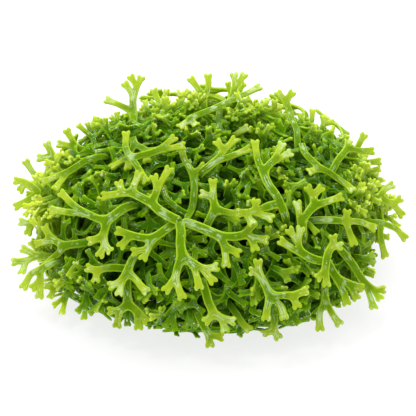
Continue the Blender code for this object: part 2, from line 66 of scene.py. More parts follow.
# Each traced thallus: the storey it lies on, then its tree of points in the view, root first.
# A point is (across, down, arm, arm, ...): no arm is a lobe, one a bend, more a fork.
TRACED = {
    "thallus_heart_west": (3, (174, 219, (163, 213, (152, 203,
        (131, 192, (139, 174), (123, 193, (104, 196), (119, 183))),
        (158, 186, (169, 169), (154, 177)))))),
    "thallus_heart_southwest": (2, (170, 226, (160, 234, (151, 239,
        (131, 235, (118, 231), (121, 246)),
        (147, 250, (134, 252), (143, 258)))))),
    "thallus_heart_south": (3, (180, 226, (180, 241, (182, 257,
        (177, 269, (175, 280, (166, 290), (182, 297))),
        (195, 265, (199, 287), (204, 270, (216, 267), (213, 281))))))),
    "thallus_heart_east": (2, (189, 223, (204, 229, (222, 237,
        (225, 247, (226, 265), (238, 253)),
        (240, 236, (246, 234, (253, 224), (252, 238, (266, 240), (255, 249)))))))),
    "thallus_bright_cross": (4, (277, 204, (264, 208, (256, 211,
        (256, 202), (246, 213, (239, 213), (252, 223)), (271, 218))))),
    "thallus_tall_fork": (3, (285, 214, (279, 200, (268, 185, (263, 172,
        (257, 160, (255, 142)), (275, 160, (282, 144), (290, 153))))))),
    "thallus_crown_low": (2, (204, 170, (211, 165, (218, 159,
        (224, 151, (217, 142), (235, 139)), (234, 155, (249, 149)))))),
    "thallus_crown_stem": (0, (192, 209, (194, 194, (193, 175,
        (184, 160, (182, 150)), (204, 166))))),
    "thallus_middle_fork": (1, (208, 223, (215, 209,
        (213, 197, (202, 194), (213, 181)), (229, 213, (238, 214))))),
    "thallus_east_long": (2, (303, 235, (301, 220,
        (297, 203), (308, 212, (315, 205,
            (313, 195, (308, 188), (321, 188)), (341, 197)))))),
    "thallus_east_low": (3, (316, 260, (308, 257, (299, 251,
        (290, 247, (281, 241)), (297, 240, (291, 230), (299, 229)))))),
    "thallus_east_bar": (1, (317, 220, (331, 220, (346, 221,
        (347, 212), (349, 232, (351, 245), (356, 242)), (362, 222, (374, 228)))))),
    "thallus_east_hub": (3, (326, 262, (328, 251, (334, 245, (333, 237), (340, 246))),
        (325, 272, (318, 278), (326, 284)))),
    "thallus_southeast_fan": (2, (331, 269, (338, 280, (344, 292, (344, 305), (349, 301)),
        (350, 284, (361, 289), (357, 297))))),
    "thallus_southeast_reach": (1, (351, 262, (359, 275, (368, 286,
        (371, 299, (371, 309), (376, 305)), (375, 291, (383, 290), (380, 298)))))),
    "thallus_south_pair": (1, (325, 287, (325, 302,
        (319, 316, (317, 330), (323, 327)), (332, 314, (341, 321), (337, 326))))),
    "thallus_south_hub": (3, (271, 297, (264, 282, (258, 272, (252, 270), (257, 263))),
        (267, 308, (266, 318)), (281, 305, (284, 317)),
        (286, 295, (293, 296, (305, 291), (297, 306))))),
    "thallus_south_middle": (2, (204, 287, (208, 302, (214, 314,
        (206, 321), (223, 319, (233, 321), (225, 330)))))),
    "thallus_floor_middle": (1, (199, 317, (206, 330, (209, 335, (210, 345), (221, 337))))),
    "thallus_floor_dark": (0, (234, 311, (242, 323, (246, 331), (251, 327)))),
    "thallus_floor_east": (0, (273, 309, (275, 322, (273, 330,
        (264, 333), (278, 337))))),
    "thallus_southwest_tall": (1, (127, 279, (127, 291, (128, 305,
        (119, 311, (110, 311), (117, 326)), (138, 311, (139, 327), (146, 321)))))),
    "thallus_southwest_hub": (2, (132, 260, (127, 272,
        (121, 283, (111, 286), (119, 293)), (146, 291)))),
    "thallus_southwest_arm": (1, (121, 268, (108, 267, (97, 271,
        (88, 268), (96, 280))))),
    "thallus_west_fork": (2, (129, 206, (116, 214, (106, 221,
        (92, 216, (83, 212, (61, 193), (52, 210))),
        (103, 237, (90, 241), (105, 246, (100, 255), (110, 251))))))),
    "thallus_west_long": (0, (92, 241, (77, 244, (64, 246,
        (51, 239, (45, 227), (36, 244)), (54, 257, (45, 265)))))),
    "thallus_west_fan": (2, (46, 266, (39, 271,
        (31, 273, (21, 284), (26, 290)), (41, 280, (33, 288), (39, 296))))),
    "thallus_west_edge": (0, (48, 257, (36, 256,
        (23, 249), (25, 261, (14, 262), (22, 272))))),
    "thallus_west_tuft": (0, (46, 220, (31, 224, (21, 222), (28, 233)))),
    "thallus_west_spray": (0, (40, 193,
        (26, 201, (17, 203), (15, 210)), (26, 182, (16, 181), (20, 190)))),
    "thallus_northwest_spur": (0, (40, 180, (33, 173, (26, 162)))),
    "thallus_northwest_fork": (0, (64, 164, (53, 157, (47, 144), (39, 158)))),
    "thallus_northwest_pair": (0, (87, 151, (75, 146, (67, 131), (59, 144)))),
    "thallus_northwest_arm": (1, (98, 157, (81, 163, (66, 173, (56, 188), (43, 182))))),
    "thallus_north_mast": (0, (133, 122, (133, 111, (120, 105, (107, 100)),
        (134, 94, (125, 84), (137, 85, (131, 77), (141, 78)))))),
    "thallus_crown_west": (2, (131, 158, (126, 150, (126, 133)),
        (149, 154, (162, 149, (174, 138), (183, 146))), (138, 168, (146, 181)))),
    "thallus_crown_spur": (0, (168, 110, (157, 99, (151, 91), (157, 90)))),
    "thallus_north_posts": (0, (204, 106, (204, 97,
        (198, 88, (191, 79)), (209, 87, (208, 76))))),
    "thallus_north_crest": (0, (226, 106, (232, 97,
        (236, 85, (235, 75), (243, 75)), (244, 95, (259, 87))))),
    "thallus_north_ribbon": (1, (236, 99, (221, 105, (205, 112, (190, 119,
        (180, 127), (196, 125)))))),
    "thallus_crown_drop": (0, (220, 108, (219, 120, (220, 131,
        (212, 140), (231, 137, (247, 128)))))),
    "thallus_northeast_mast": (0, (298, 148, (297, 130, (290, 112, (285, 101,
        (278, 93), (292, 93)))))),
    "thallus_northeast_arc": (1, (302, 144, (308, 157, (319, 168,
        (333, 175, (346, 184, (352, 190))), (309, 172))))),
    "thallus_northeast_fork": (1, (334, 168, (341, 156, (347, 149,
        (348, 141), (360, 151, (371, 148), (373, 154)))))),
    "thallus_northeast_spur": (0, (354, 155, (359, 144, (361, 134), (367, 137)))),
    "thallus_east_spur": (0, (357, 163, (370, 162, (378, 158), (380, 165)))),
    "thallus_east_spray": (0, (372, 199, (380, 198,
        (383, 190, (392, 185)), (393, 204, (400, 199), (402, 215))))),
    "thallus_east_foot": (0, (369, 222, (380, 222,
        (396, 228, (405, 238)), (381, 240, (385, 256))))),
}

# Where the root of a traced thallus runs on to, under or into its neighbours: across, down, storey.
MEETING = {
    "thallus_heart_west": (181, 221, 2.7),
    "thallus_heart_southwest": (182, 221, 2.5),
    "thallus_heart_south": (180, 219, 2.6),
    "thallus_heart_east": (179, 222, 2.4),
    "thallus_crown_stem": (186, 219, 1.8),
    "thallus_east_low": (327, 262, 2.8),
    "thallus_southeast_reach": (337, 245, 1.4),
    "thallus_southeast_fan": (327, 259, 2.3),
}

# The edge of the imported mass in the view, clockwise from its left end. Only sprigs stand out past it.
MASS_EDGE = (
    (36, 190), (46, 176), (62, 154), (77, 143), (95, 130), (112, 124), (126, 119), (145, 111),
    (160, 108), (175, 106), (190, 103), (205, 97), (220, 96), (235, 98), (250, 107), (268, 110),
    (285, 117), (298, 123), (310, 124), (324, 130), (338, 142), (350, 150), (360, 158), (368, 167),
    (373, 176), (378, 187), (385, 199), (388, 210), (387, 221), (380, 231), (364, 238), (360, 246),
    (362, 258), (365, 268), (364, 278), (354, 287), (343, 300), (332, 303), (322, 306), (314, 319),
    (302, 316), (296, 325), (280, 325), (268, 320), (262, 328), (248, 331), (230, 333), (212, 331),
    (195, 331), (172, 330), (160, 323), (146, 323), (125, 316), (112, 315), (98, 313), (85, 303),
    (72, 306), (60, 308), (52, 290), (46, 280), (46, 268), (43, 260), (36, 256), (42, 245),
    (40, 232), (33, 225), (36, 215), (33, 205),
)

# Small sprigs read in the same way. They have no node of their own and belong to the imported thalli.
TRACED_SMALL = (
    (0, (180, 106, (182, 97, (177, 92), (188, 91)))),
    (0, (310, 124, (312, 118, (311, 110), (314, 111)))),
    (0, (303, 126, (301, 120, (298, 113), (302, 115)))),
    (0, (322, 130, (324, 124, (323, 117), (333, 122)))),
    (0, (163, 104, (166, 94, (163, 90), (170, 91)))),
    (0, (94, 135, (93, 126, (94, 117), (98, 119)))),
    (0, (95, 145, (87, 133, (77, 127), (81, 124)))),
    (0, (117, 125, (117, 119, (114, 114), (120, 112)))),
    (0, (262, 112, (266, 104, (264, 98), (271, 100)))),
    (0, (358, 257, (366, 259, (373, 255), (374, 263)))),
    (0, (360, 270, (368, 274, (374, 272), (373, 278)))),
    (1, (343, 190, (347, 202, (357, 209, (365, 213))))),
    (1, (283, 200, (288, 195, (293, 187, (285, 184), (305, 182))))),
    (0, (262, 175, (250, 183, (246, 195)))),
    (0, (347, 290, (355, 292, (353, 299), (363, 287)))),
    (0, (300, 300, (295, 308, (296, 322), (290, 312)))),
    (1, (80, 262, (72, 269, (66, 275), (73, 275)))),
    (1, (66, 280, (61, 284, (57, 287)))),
    (0, (70, 287, (65, 298, (55, 306), (61, 312)))),
    (0, (87, 291, (85, 303, (78, 311), (84, 318)))),
    (0, (105, 299, (98, 306, (90, 313), (104, 311)))),
    (0, (62, 283, (54, 288, (46, 286), (50, 297)))),
    (0, (112, 285, (101, 290, (97, 298)))),
    (0, (157, 292, (160, 300))),
    (1, (188, 214, (176, 207, (167, 200, (163, 188))))),
    (0, (106, 134, (103, 127, (100, 121), (106, 120)))),
    (0, (150, 112, (146, 105, (142, 102), (148, 100)))),
    (0, (160, 106, (163, 99, (168, 93)))),
    (0, (232, 97, (229, 89, (225, 84), (231, 83)))),
    (0, (240, 97, (240, 89, (244, 84)))),
    (0, (322, 140, (328, 134, (333, 130), (331, 137)))),
    (0, (340, 150, (341, 142, (338, 135), (345, 137)))),
    (0, (348, 155, (349, 148, (350, 141)))),
    (0, (366, 172, (373, 170, (379, 169)))),
    (0, (366, 190, (372, 185, (376, 181)))),
    (0, (378, 232, (384, 237, (388, 237)))),
    (0, (385, 215, (393, 221, (398, 226)))),
    (0, (287, 305, (292, 315, (286, 323), (298, 323)))),
    (0, (300, 297, (304, 303, (307, 308)))),
    (0, (176, 308, (172, 318, (166, 326), (174, 329)))),
    (0, (190, 310, (190, 319, (186, 327), (196, 326)))),
    (0, (128, 309, (127, 318, (124, 324), (131, 325)))),
    (1, (303, 219, (310, 225, (316, 232)))),
    (1, (276, 219, (281, 226, (284, 233)))),
    (1, (222, 214, (230, 217, (237, 222)))),
    (1, (275, 268, (284, 273, (292, 271), (288, 279)))),
    (0, (232, 258, (238, 270, (242, 283)))),
    (0, (226, 288, (235, 297, (245, 304)))),
    (0, (264, 292, (256, 301, (250, 311, (259, 313))))),
)


def smooth_step(value: float, low: float, high: float) -> float:
    """Give a smooth step from 0 at low to 1 at high."""
    share = min(max((value - low) / (high - low), 0.0), 1.0)
    return share * share * (3.0 - 2.0 * share)


def flattened(way: Vector, face: Vector) -> Vector:
    """Give the unit direction of way within the plane that face looks out of."""
    return (way - face * way.dot(face)).normalized()


def turn_of(first: Vector, second: Vector, face: Vector) -> float:
    """Give the angle from first round to second about face, from 0 to a full turn."""
    angle = math.atan2(face.dot(first.cross(second)), first.dot(second))
    return angle % (2.0 * math.pi)


def random_way(rng: random.Random, lowest: float) -> Triple:
    """Draw a unit direction, evenly all round.

    Args:
        rng: The random numbers.
        lowest: The lowest level that it may point at, from -1 straight down to 1 straight up.

    Returns:
        The direction.
    """
    level = rng.uniform(lowest, 1.0)
    bearing = rng.uniform(0.0, 2.0 * math.pi)
    ring = math.sqrt(1.0 - level**2)
    return ring * math.cos(bearing), ring * math.sin(bearing), level


def inside(point: Pair, edge: Sequence[Pair]) -> bool:
    """Tell whether a point lies inside a closed edge.

    Args:
        point: The point.
        edge: The edge's corners in order.

    Returns:
        True if it does.
    """
    across, down = point
    crossings = 0
    for (left, top), (right, bottom) in zip(edge, edge[1:] + edge[:1]):
        if (top > down) != (bottom > down):
            crossings += across < left + (right - left) * (down - top) / (bottom - top)
    return crossings % 2 == 1


@dataclass(frozen=True)
class Sight:
    """The view that the traced thalli are read in, with pixels of the photograph's square frame.

    `turned` is the range of a surface's slope to the eye over which it turns towards it.
    """

    elevation: float = math.radians(32.0)
    distance: float = 135.0 * MM
    focal: float = 1050.0
    target_height: float = 6.0 * MM
    centre: Pair = (209.0, 211.0)
    turned: Pair = (-0.3, 0.3)

    @property
    def target(self) -> Vector:
        """The point that the pixel `centre` shows."""
        return Vector((0.0, 0.0, self.target_height))

    @property
    def back(self) -> Vector:
        """The direction from the target to the eye."""
        return Vector((0.0, -math.cos(self.elevation), math.sin(self.elevation)))

    @property
    def up(self) -> Vector:
        """The direction that is up in the picture."""
        return Vector((0.0, math.sin(self.elevation), math.cos(self.elevation)))

    @property
    def eye(self) -> Vector:
        """Where the eye is."""
        return self.target + self.back * self.distance

    def towards(self, out: Vector, share: float) -> Vector:
        """Turn a surface's direction towards the eye, by a share, where the surface can be seen."""
        seen = smooth_step(out.dot(self.back), *self.turned)
        return (out + self.back * share * seen).normalized()

    def pixel(self, place: Vector) -> Pair:
        """Find the pixel that shows a place.

        Args:
            place: The place.

        Returns:
            Pixels from the frame's left edge and from its upper edge.
        """
        out = place - self.eye
        share = self.focal / -out.dot(self.back)
        return self.centre[0] + out.x * share, self.centre[1] - out.dot(self.up) * share

    def ray(self, across: float, down: float) -> Vector:
        """Find the direction that a pixel looks along.

        Args:
            across: Pixels from the frame's left edge.
            down: Pixels from its upper edge.

        Returns:
            The unit direction from the eye.
        """
        side = (across - self.centre[0]) / self.focal
        rise = (self.centre[1] - down) / self.focal
        return (Vector((side, 0.0, 0.0)) + self.up * rise - self.back).normalized()


@dataclass(frozen=True)
class Cushion:
    """The clump's overall form: an ellipsoid whose widest level lies a little above the floor.

    The large thalli lie on it in storeys, with their roots a little deeper and their lobes a little
    higher. The `pale_` values say where the colour is painted pale, as backlight shining through the
    plants: a range over the half width, a range over the half depth, how much less so on the right,
    and the range of heights over which the back is painted so.
    """

    half_width: float = 23.0 * MM
    half_depth: float = 22.0 * MM
    rise: float = 14.2 * MM
    drop: float = 7.0 * MM
    waist: float = 5.0 * MM
    floor_clearance: float = 0.35 * MM
    storey_height: float = 0.75 * MM
    root_dive: float = 0.45 * MM
    tip_rise: float = 0.30 * MM
    pale_aside: Pair = (0.62, 1.02)
    pale_behind: Pair = (-0.06, 0.56)
    pale_right: float = 0.70
    pale_height: Pair = (8.0 * MM, 12.5 * MM)

    @property
    def middle(self) -> Vector:
        """The ellipsoid's middle."""
        return Vector((0.0, 0.0, self.waist))

    def half_sizes(self, height: float, lift: float) -> Triple:
        """Give the half sizes along X, Y and Z that hold at a height, raised by lift."""
        tall = self.rise if height >= self.waist else self.drop
        return self.half_width + lift, self.half_depth + lift, tall + lift

    def face(self, place: Vector) -> Vector:
        """Give the unit direction straight out of the cushion at a place on or near it."""
        wide, deep, tall = self.half_sizes(place.z, 0.0)
        out = Vector((place.x / wide**2, place.y / deep**2, (place.z - self.waist) / tall**2))
        return out.normalized()

    def at(self, way: Sequence[float], lift: float) -> Vector:
        """Find the point of the cushion, raised by lift, that a direction of a unit ball goes to."""
        wide, deep, tall = self.half_sizes(self.waist + way[2], lift)
        return Vector((way[0] * wide, way[1] * deep, self.waist + way[2] * tall))

    def share_of(self, place: Vector, lift: float) -> float:
        """Tell how far out a place is, as a share of the way to the cushion raised by lift."""
        wide, deep, tall = self.half_sizes(place.z, lift)
        out = place - self.middle
        return math.sqrt((out.x / wide) ** 2 + (out.y / deep) ** 2 + (out.z / tall) ** 2)

    def onto(self, place: Vector, lift: float) -> Vector:
        """Move a point out from the cushion's middle until it lies on it, raised by lift.

        Args:
            place: The point.
            lift: How far outside the cushion it ends, or inside if negative.

        Returns:
            The moved point, no lower than the floor clearance.
        """
        moved = self.middle + (place - self.middle) / self.share_of(place, lift)
        moved.z = max(moved.z, self.floor_clearance)
        return moved

    def lift_of(self, place: Vector) -> float:
        """Give how far outside the cushion a point is along the line from the middle."""
        share = self.share_of(place, 0.0)
        return (place - self.middle).length * (1.0 - 1.0 / share) if share > 0.0 else -self.drop

    def painted_backlight(self, place: Vector) -> float:
        """Tell how strongly a place is painted pale, as backlight shining through the plants.

        Args:
            place: The place.

        Returns:
            The share of painted backlight, from 0 in front to 1 at the sides and the back.
        """
        # Painted backlight: pale at the sides, less so on the right, and at the back above the given
        # heights.
        aside = smooth_step(abs(place.x) / self.half_width, *self.pale_aside)
        aside *= self.pale_right if place.x > 0.0 else 1.0
        behind = smooth_step(place.y / self.half_depth, *self.pale_behind)
        behind *= smooth_step(place.z, *self.pale_height)
        return 1.0 - (1.0 - aside) * (1.0 - behind)


@dataclass
class Joint:
    """A point of a thallus: where it is, which way its face looks, and what grows on from it."""

    place: Vector
    face: Vector
    arms: list["Joint"] = field(default_factory=list)

    def order(self) -> int:
        """Count the forks between this joint and its furthest lobe."""
        furthest = max((arm.order() for arm in self.arms), default=0)
        return furthest + (len(self.arms) > 1)

    def to_lobe(self) -> float:
        """Give the distance along the ribbon to the nearest lobe."""
        return min(((arm.place - self.place).length + arm.to_lobe() for arm in self.arms), default=0.0)

    def walk(self) -> Iterator["Joint"]:
        """Yield this joint and all that grows on from it."""
        yield self
        for arm in self.arms:
            yield from arm.walk()


@dataclass(frozen=True)
class Tracer:
    """Turns traced points in the view into joints on the cushion, by the rule that the solids follow.

    `rim_power` says how sharply the lift fades in towards the cushion's outline, and `one_lobe` is the
    distance in pixels below which two tips are one lobe with two knobs.
    """

    sight: Sight
    cushion: Cushion
    follows_cushion: float = 0.6
    lying_slope: float = 1.6
    standing_slope: float = 0.45
    rim_power: int = 4
    tip_spacing: float = 1.3 * MM
    one_lobe: float = 8.0

    def place(self, across: float, down: float, lift: float, parent: Vector | None) -> Vector:
        """Find the place on the raised cushion that a pixel shows, or the nearest on its sight line.

        Args:
            across: Pixels from the frame's left edge.
            down: Pixels from its upper edge.
            lift: How far outside the cushion the place is.
            parent: The place that the arm grows from, which keeps it from running far back.

        Returns:
            The place, no lower than the floor clearance.
        """
        ray = self.sight.ray(across, down)
        eye = self.sight.eye
        cushion = self.cushion
        wide = cushion.half_width + lift
        deep = cushion.half_depth + lift
        chosen = 0.0
        outside = False
        for rise in (cushion.rise, cushion.drop):
            tall = rise + lift
            start = Vector((eye.x / wide, eye.y / deep, (eye.z - cushion.waist) / tall))
            step = Vector((ray.x / wide, ray.y / deep, ray.z / tall))
            along = -start.dot(step) / step.dot(step)
            miss = (start + step * along).length
            if miss < 1.0:
                along -= math.sqrt((1.0 - miss**2) / step.dot(step))
            along -= lift * min(miss, 1.0) ** self.rim_power
            above = (eye + ray * along).z >= cushion.waist
            if chosen == 0.0 or above == (rise == cushion.rise):
                chosen = along
                outside = miss >= 1.0
        if parent is not None:
            level = (parent - eye).dot(ray)
            aside = (parent - eye - ray * level).length
            slack = aside * (self.standing_slope if outside else self.lying_slope)
            chosen = min(max(chosen, level - slack), level + slack)
        place = eye + ray * chosen
        if place.z < cushion.floor_clearance:
            place = eye + ray * ((cushion.floor_clearance - eye.z) / ray.z)
        return place

    def joint(self, tree: tuple, lift: float, parent: Vector | None = None) -> Joint:
        """Turn one point of a traced tree, and all that grows on from it, into joints.

        Args:
            tree: The point, as (across, down, arm, arm, ...).
            lift: How far outside the cushion the thallus lies.
            parent: The place that this point grows from.

        Returns:
            The joint, with its arms.
        """
        across, down, *arms = tree
        if len(arms) == 2 and max(map(len, arms)) == 2 and math.dist(*arms) < self.one_lobe:
            arms = [((arms[0][0] + arms[1][0]) / 2.0, (arms[0][1] + arms[1][1]) / 2.0)]
        own_lift = lift
        if parent is None and len(arms) == 1:
            own_lift -= self.cushion.root_dive
        if not arms:
            own_lift += self.cushion.tip_rise
        place = self.place(across, down, own_lift, parent)
        towards_eye = (self.sight.eye - place).normalized()
        face = (self.cushion.face(place) * self.follows_cushion + towards_eye).normalized()
        joint = Joint(place, face, [self.joint(arm, lift, place) for arm in arms])
        tips = [arm for arm in joint.arms if not arm.arms]
        if len(tips) == 2:
            self.spread(*tips)
        return joint

    def spread(self, first: Joint, second: Joint) -> None:
        """Move the two lobe tips of one fork evenly apart until both lobes have room.

        Args:
            first: One lobe's tip.
            second: The other's.
        """
        between = second.place - first.place
        short = self.tip_spacing - between.length
        if short > 0.0:
            shift = between.normalized() * short / 2.0
            first.place -= shift
            second.place += shift


@dataclass(frozen=True)
class RearRow:
    """A row of large thalli round the far side: bearings in degrees from +X, and its seed."""

    name: str
    count: int
    first: float
    last: float
    height_angle: float
    storey: int
    seed: int


@dataclass(frozen=True)
class RearGrowth:
    """The rule that the large thalli on the far side grow by, the same as their solids follow."""

    cushion: Cushion
    step: float = 2.5 * MM
    forks: int = 2
    fork_half_angle: float = math.radians(31.0)
    shrink: float = 0.86
    turn_play: float = 0.16
    step_play: Pair = (0.9, 1.15)
    row_play: float = 5.0
    climb_play: float = 0.5
    rows: tuple[RearRow, ...] = (
        RearRow("thallus_rear_low", 5, 18.0, 138.0, 4.0, 0, 100),
        RearRow("thallus_rear_high", 4, 18.0, 99.0, 42.0, 1, 200),
        RearRow("thallus_rear_crown", 2, 75.0, 190.0, 66.0, 0, 300),
    )

    def joint(
        self, rng: random.Random, place: Vector, heading: Vector, lift: float, forks: int,
        step: float, depth: int = 0,
    ) -> Joint:
        """Grow a thallus over the cushion: a stem, then forks in twos, each pair a little shorter.

        Args:
            rng: The thallus's own random numbers.
            place: Where this joint is.
            heading: The way that it grows.
            lift: How far outside the cushion it lies.
            forks: The forks still to come, below 0 for a lobe.
            step: The length of the next arms.
            depth: The arms between this joint and the root.

        Returns:
            The joint, with its arms.
        """
        face = self.cushion.face(place)
        heading = flattened(heading, face)
        arms = []
        if forks >= 0:
            turns = (0.0,) if depth == 0 else (-self.fork_half_angle, self.fork_half_angle)
            for turn in turns:
                turn += rng.uniform(-self.turn_play, self.turn_play)
                way = Matrix.Rotation(turn, 3, face) @ heading
                reach = place + way * step * rng.uniform(*self.step_play)
                rise = self.cushion.tip_rise if forks == 0 else 0.0
                reach = self.cushion.onto(reach, lift + rise)
                shorter = step * self.shrink
                arms.append(self.joint(rng, reach, way, lift, forks - 1, shorter, depth + 1))
        return Joint(place, face, arms)

    def thalli(self) -> Iterator[tuple[str, Joint]]:
        """Go through the large thalli of the far side, row by row.

        Yields:
            A thallus's node name and its root joint.
        """
        cushion = self.cushion
        for row in self.rows:
            for index in range(row.count):
                rng = random.Random(row.seed + index)
                bearing = math.radians(row.first + (row.last - row.first) * index / (row.count - 1))
                tilt = math.radians(row.height_angle + rng.uniform(-self.row_play, self.row_play))
                lift = row.storey * cushion.storey_height
                ring = math.cos(tilt)
                way = (ring * math.cos(bearing), ring * math.sin(bearing), math.sin(tilt))
                place = cushion.onto(cushion.at(way, lift), lift - cushion.root_dive)
                climb = rng.uniform(-self.climb_play, self.climb_play)
                heading = Vector((-math.sin(bearing), math.cos(bearing), climb))
                root = self.joint(rng, place, heading, lift, self.forks, self.step)
                yield f"{row.name}_{index + 1}", root


class Mark(Enum):
    """The values that a ribbon's points carry for its finish."""

    ACROSS = "across"
    # How far out of the cushion a point is, which also sets the painted shade of depth.
    LIFT = "lift"
    TIP = "tip"
    VARY = "vary"
    # How strongly the colour is painted pale as backlight at the sides and back.
    PALE = "pale"


class LobeEnd(Enum):
    """The outlines of a lobe's end, from its left margin to its midline.

    Each point is (across, ahead): across as a share of half the lobe's width, ahead as a share of the
    whole width.
    """

    ROUND_KNOBS = ((1.0, -0.34), (1.18, -0.04), (0.92, 0.25), (0.42, 0.27), (0.0, -0.07))
    KNOBS = ((0.98, -0.26), (1.14, 0.04), (0.62, 0.28), (0.0, 0.0))
    NOTCHED = ((1.12, -0.14), (0.70, 0.24), (0.0, 0.0))
    ROUNDED = ((0.9, -0.25), (0.6, 0.06), (0.0, 0.0))
    BLUNT = ((0.7, -0.1), (0.0, 0.1))

    @property
    def outline(self) -> tuple[Pair, ...]:
        """The whole outline, from the left margin to the right."""
        return self.value + tuple((-across, ahead) for across, ahead in self.value[-2::-1])


@dataclass(frozen=True)
class StrapSize:
    """The sizes of a ribbon.

    Heights are shares of half the thickness. `lobe_limit` and `neck_limit` are the most of an arm that
    its lobe and its neck take. `waist_place` is a share of the lobe's length behind its end, and
    `knob_place` one of the way on from there. A root row is (run behind the root, share of the dive,
    share of the width), and a meeting row is (share of the way, how deep it sinks, share of the width).
    """

    width: float = 0.80 * MM
    widening: float = 0.13
    most_widenings: int = 3
    thickness: float = 0.52 * MM
    margin_height: float = 0.86
    groove_height: float = 0.70
    lobe_width: float = 0.98 * MM
    lobe_reach: float = 0.14 * MM
    lobe_length: float = 0.56 * MM
    lobe_limit: float = 0.5
    neck_length: float = 0.45 * MM
    neck_limit: float = 0.25
    waist_share: float = 0.84
    waist_place: float = 0.6
    knob_place: float = 0.62
    knob_across: float = 0.35
    knob_height: float = 1.0
    notch_height: float = 0.8
    end_height: float = 0.45
    web_reach: float = 0.90 * MM
    gap_share: float = 0.78
    gap_angle: float = math.radians(60.0)
    arm_share: float = 0.46
    least_slope: float = 0.2
    row_gap: float = 1.1 * MM
    least_run: float = 0.6
    sway: float = 0.22
    arch: Pair = (-0.12, 0.22)
    tip_fade: float = 2.8 * MM
    root_rows: tuple[Triple, ...] = (
        (0.6 * MM, 0.2, 0.96), (1.1 * MM, 0.6, 0.85), (1.4 * MM, 1.0, 0.6),
    )
    meeting_rows: tuple[Triple, ...] = (
        (0.35, 0.0, 1.0), (0.7, 0.15 * MM, 0.9), (1.0, 0.5 * MM, 0.6),
    )

    def scaled(self, scale: float) -> "StrapSize":
        """Give these sizes for a smaller or larger thallus."""
        names = (
            "width", "thickness", "lobe_width", "lobe_reach", "lobe_length", "neck_length",
            "web_reach", "row_gap", "tip_fade",
        )
        return replace(self, **{name: getattr(self, name) * scale for name in names})


PACKED_SIZE = StrapSize(
    thickness=0.60 * MM, margin_height=0.40, groove_height=1.0, end_height=0.3, gap_share=1.0,
    sway=0.5, root_rows=((0.6 * MM, 1.0, 0.6),),
)


class StrapMesh:
    """Collects the points and faces of forked ribbons, each with its thickness and its marks."""

    def __init__(self) -> None:
        """Start with no points."""
        self.points: list[Vector] = []
        self.faces: list[tuple[int, ...]] = []
        self.marks: dict[Mark, list[float]] = {mark: [] for mark in Mark}

    def make(self, name: str) -> Mesh:
        """Turn what was collected into a mesh, smooth-shaded, with the marks as attributes.

        Args:
            name: The mesh's name.

        Returns:
            The mesh.
        """
        mesh = bpy.data.meshes.new(name)
        mesh.from_pydata(self.points, [], self.faces)
        mesh.shade_smooth()
        for mark, values in self.marks.items():
            layer = mesh.attributes.new(mark.value, "FLOAT", "POINT")
            layer.data.foreach_set("value", values)
        return mesh


class Station(NamedTuple):
    """A point of a ribbon's outline, before it has its thickness.

    `across` is 0 on the midline and 1 on the margin. `tip` is 1 on a lobe's end and fades behind it.
    `top` and `under` are the two skins' heights, as shares of half the thickness.
    """

    place: Vector
    face: Vector
    across: float
    tip: float
    top: float
    under: float


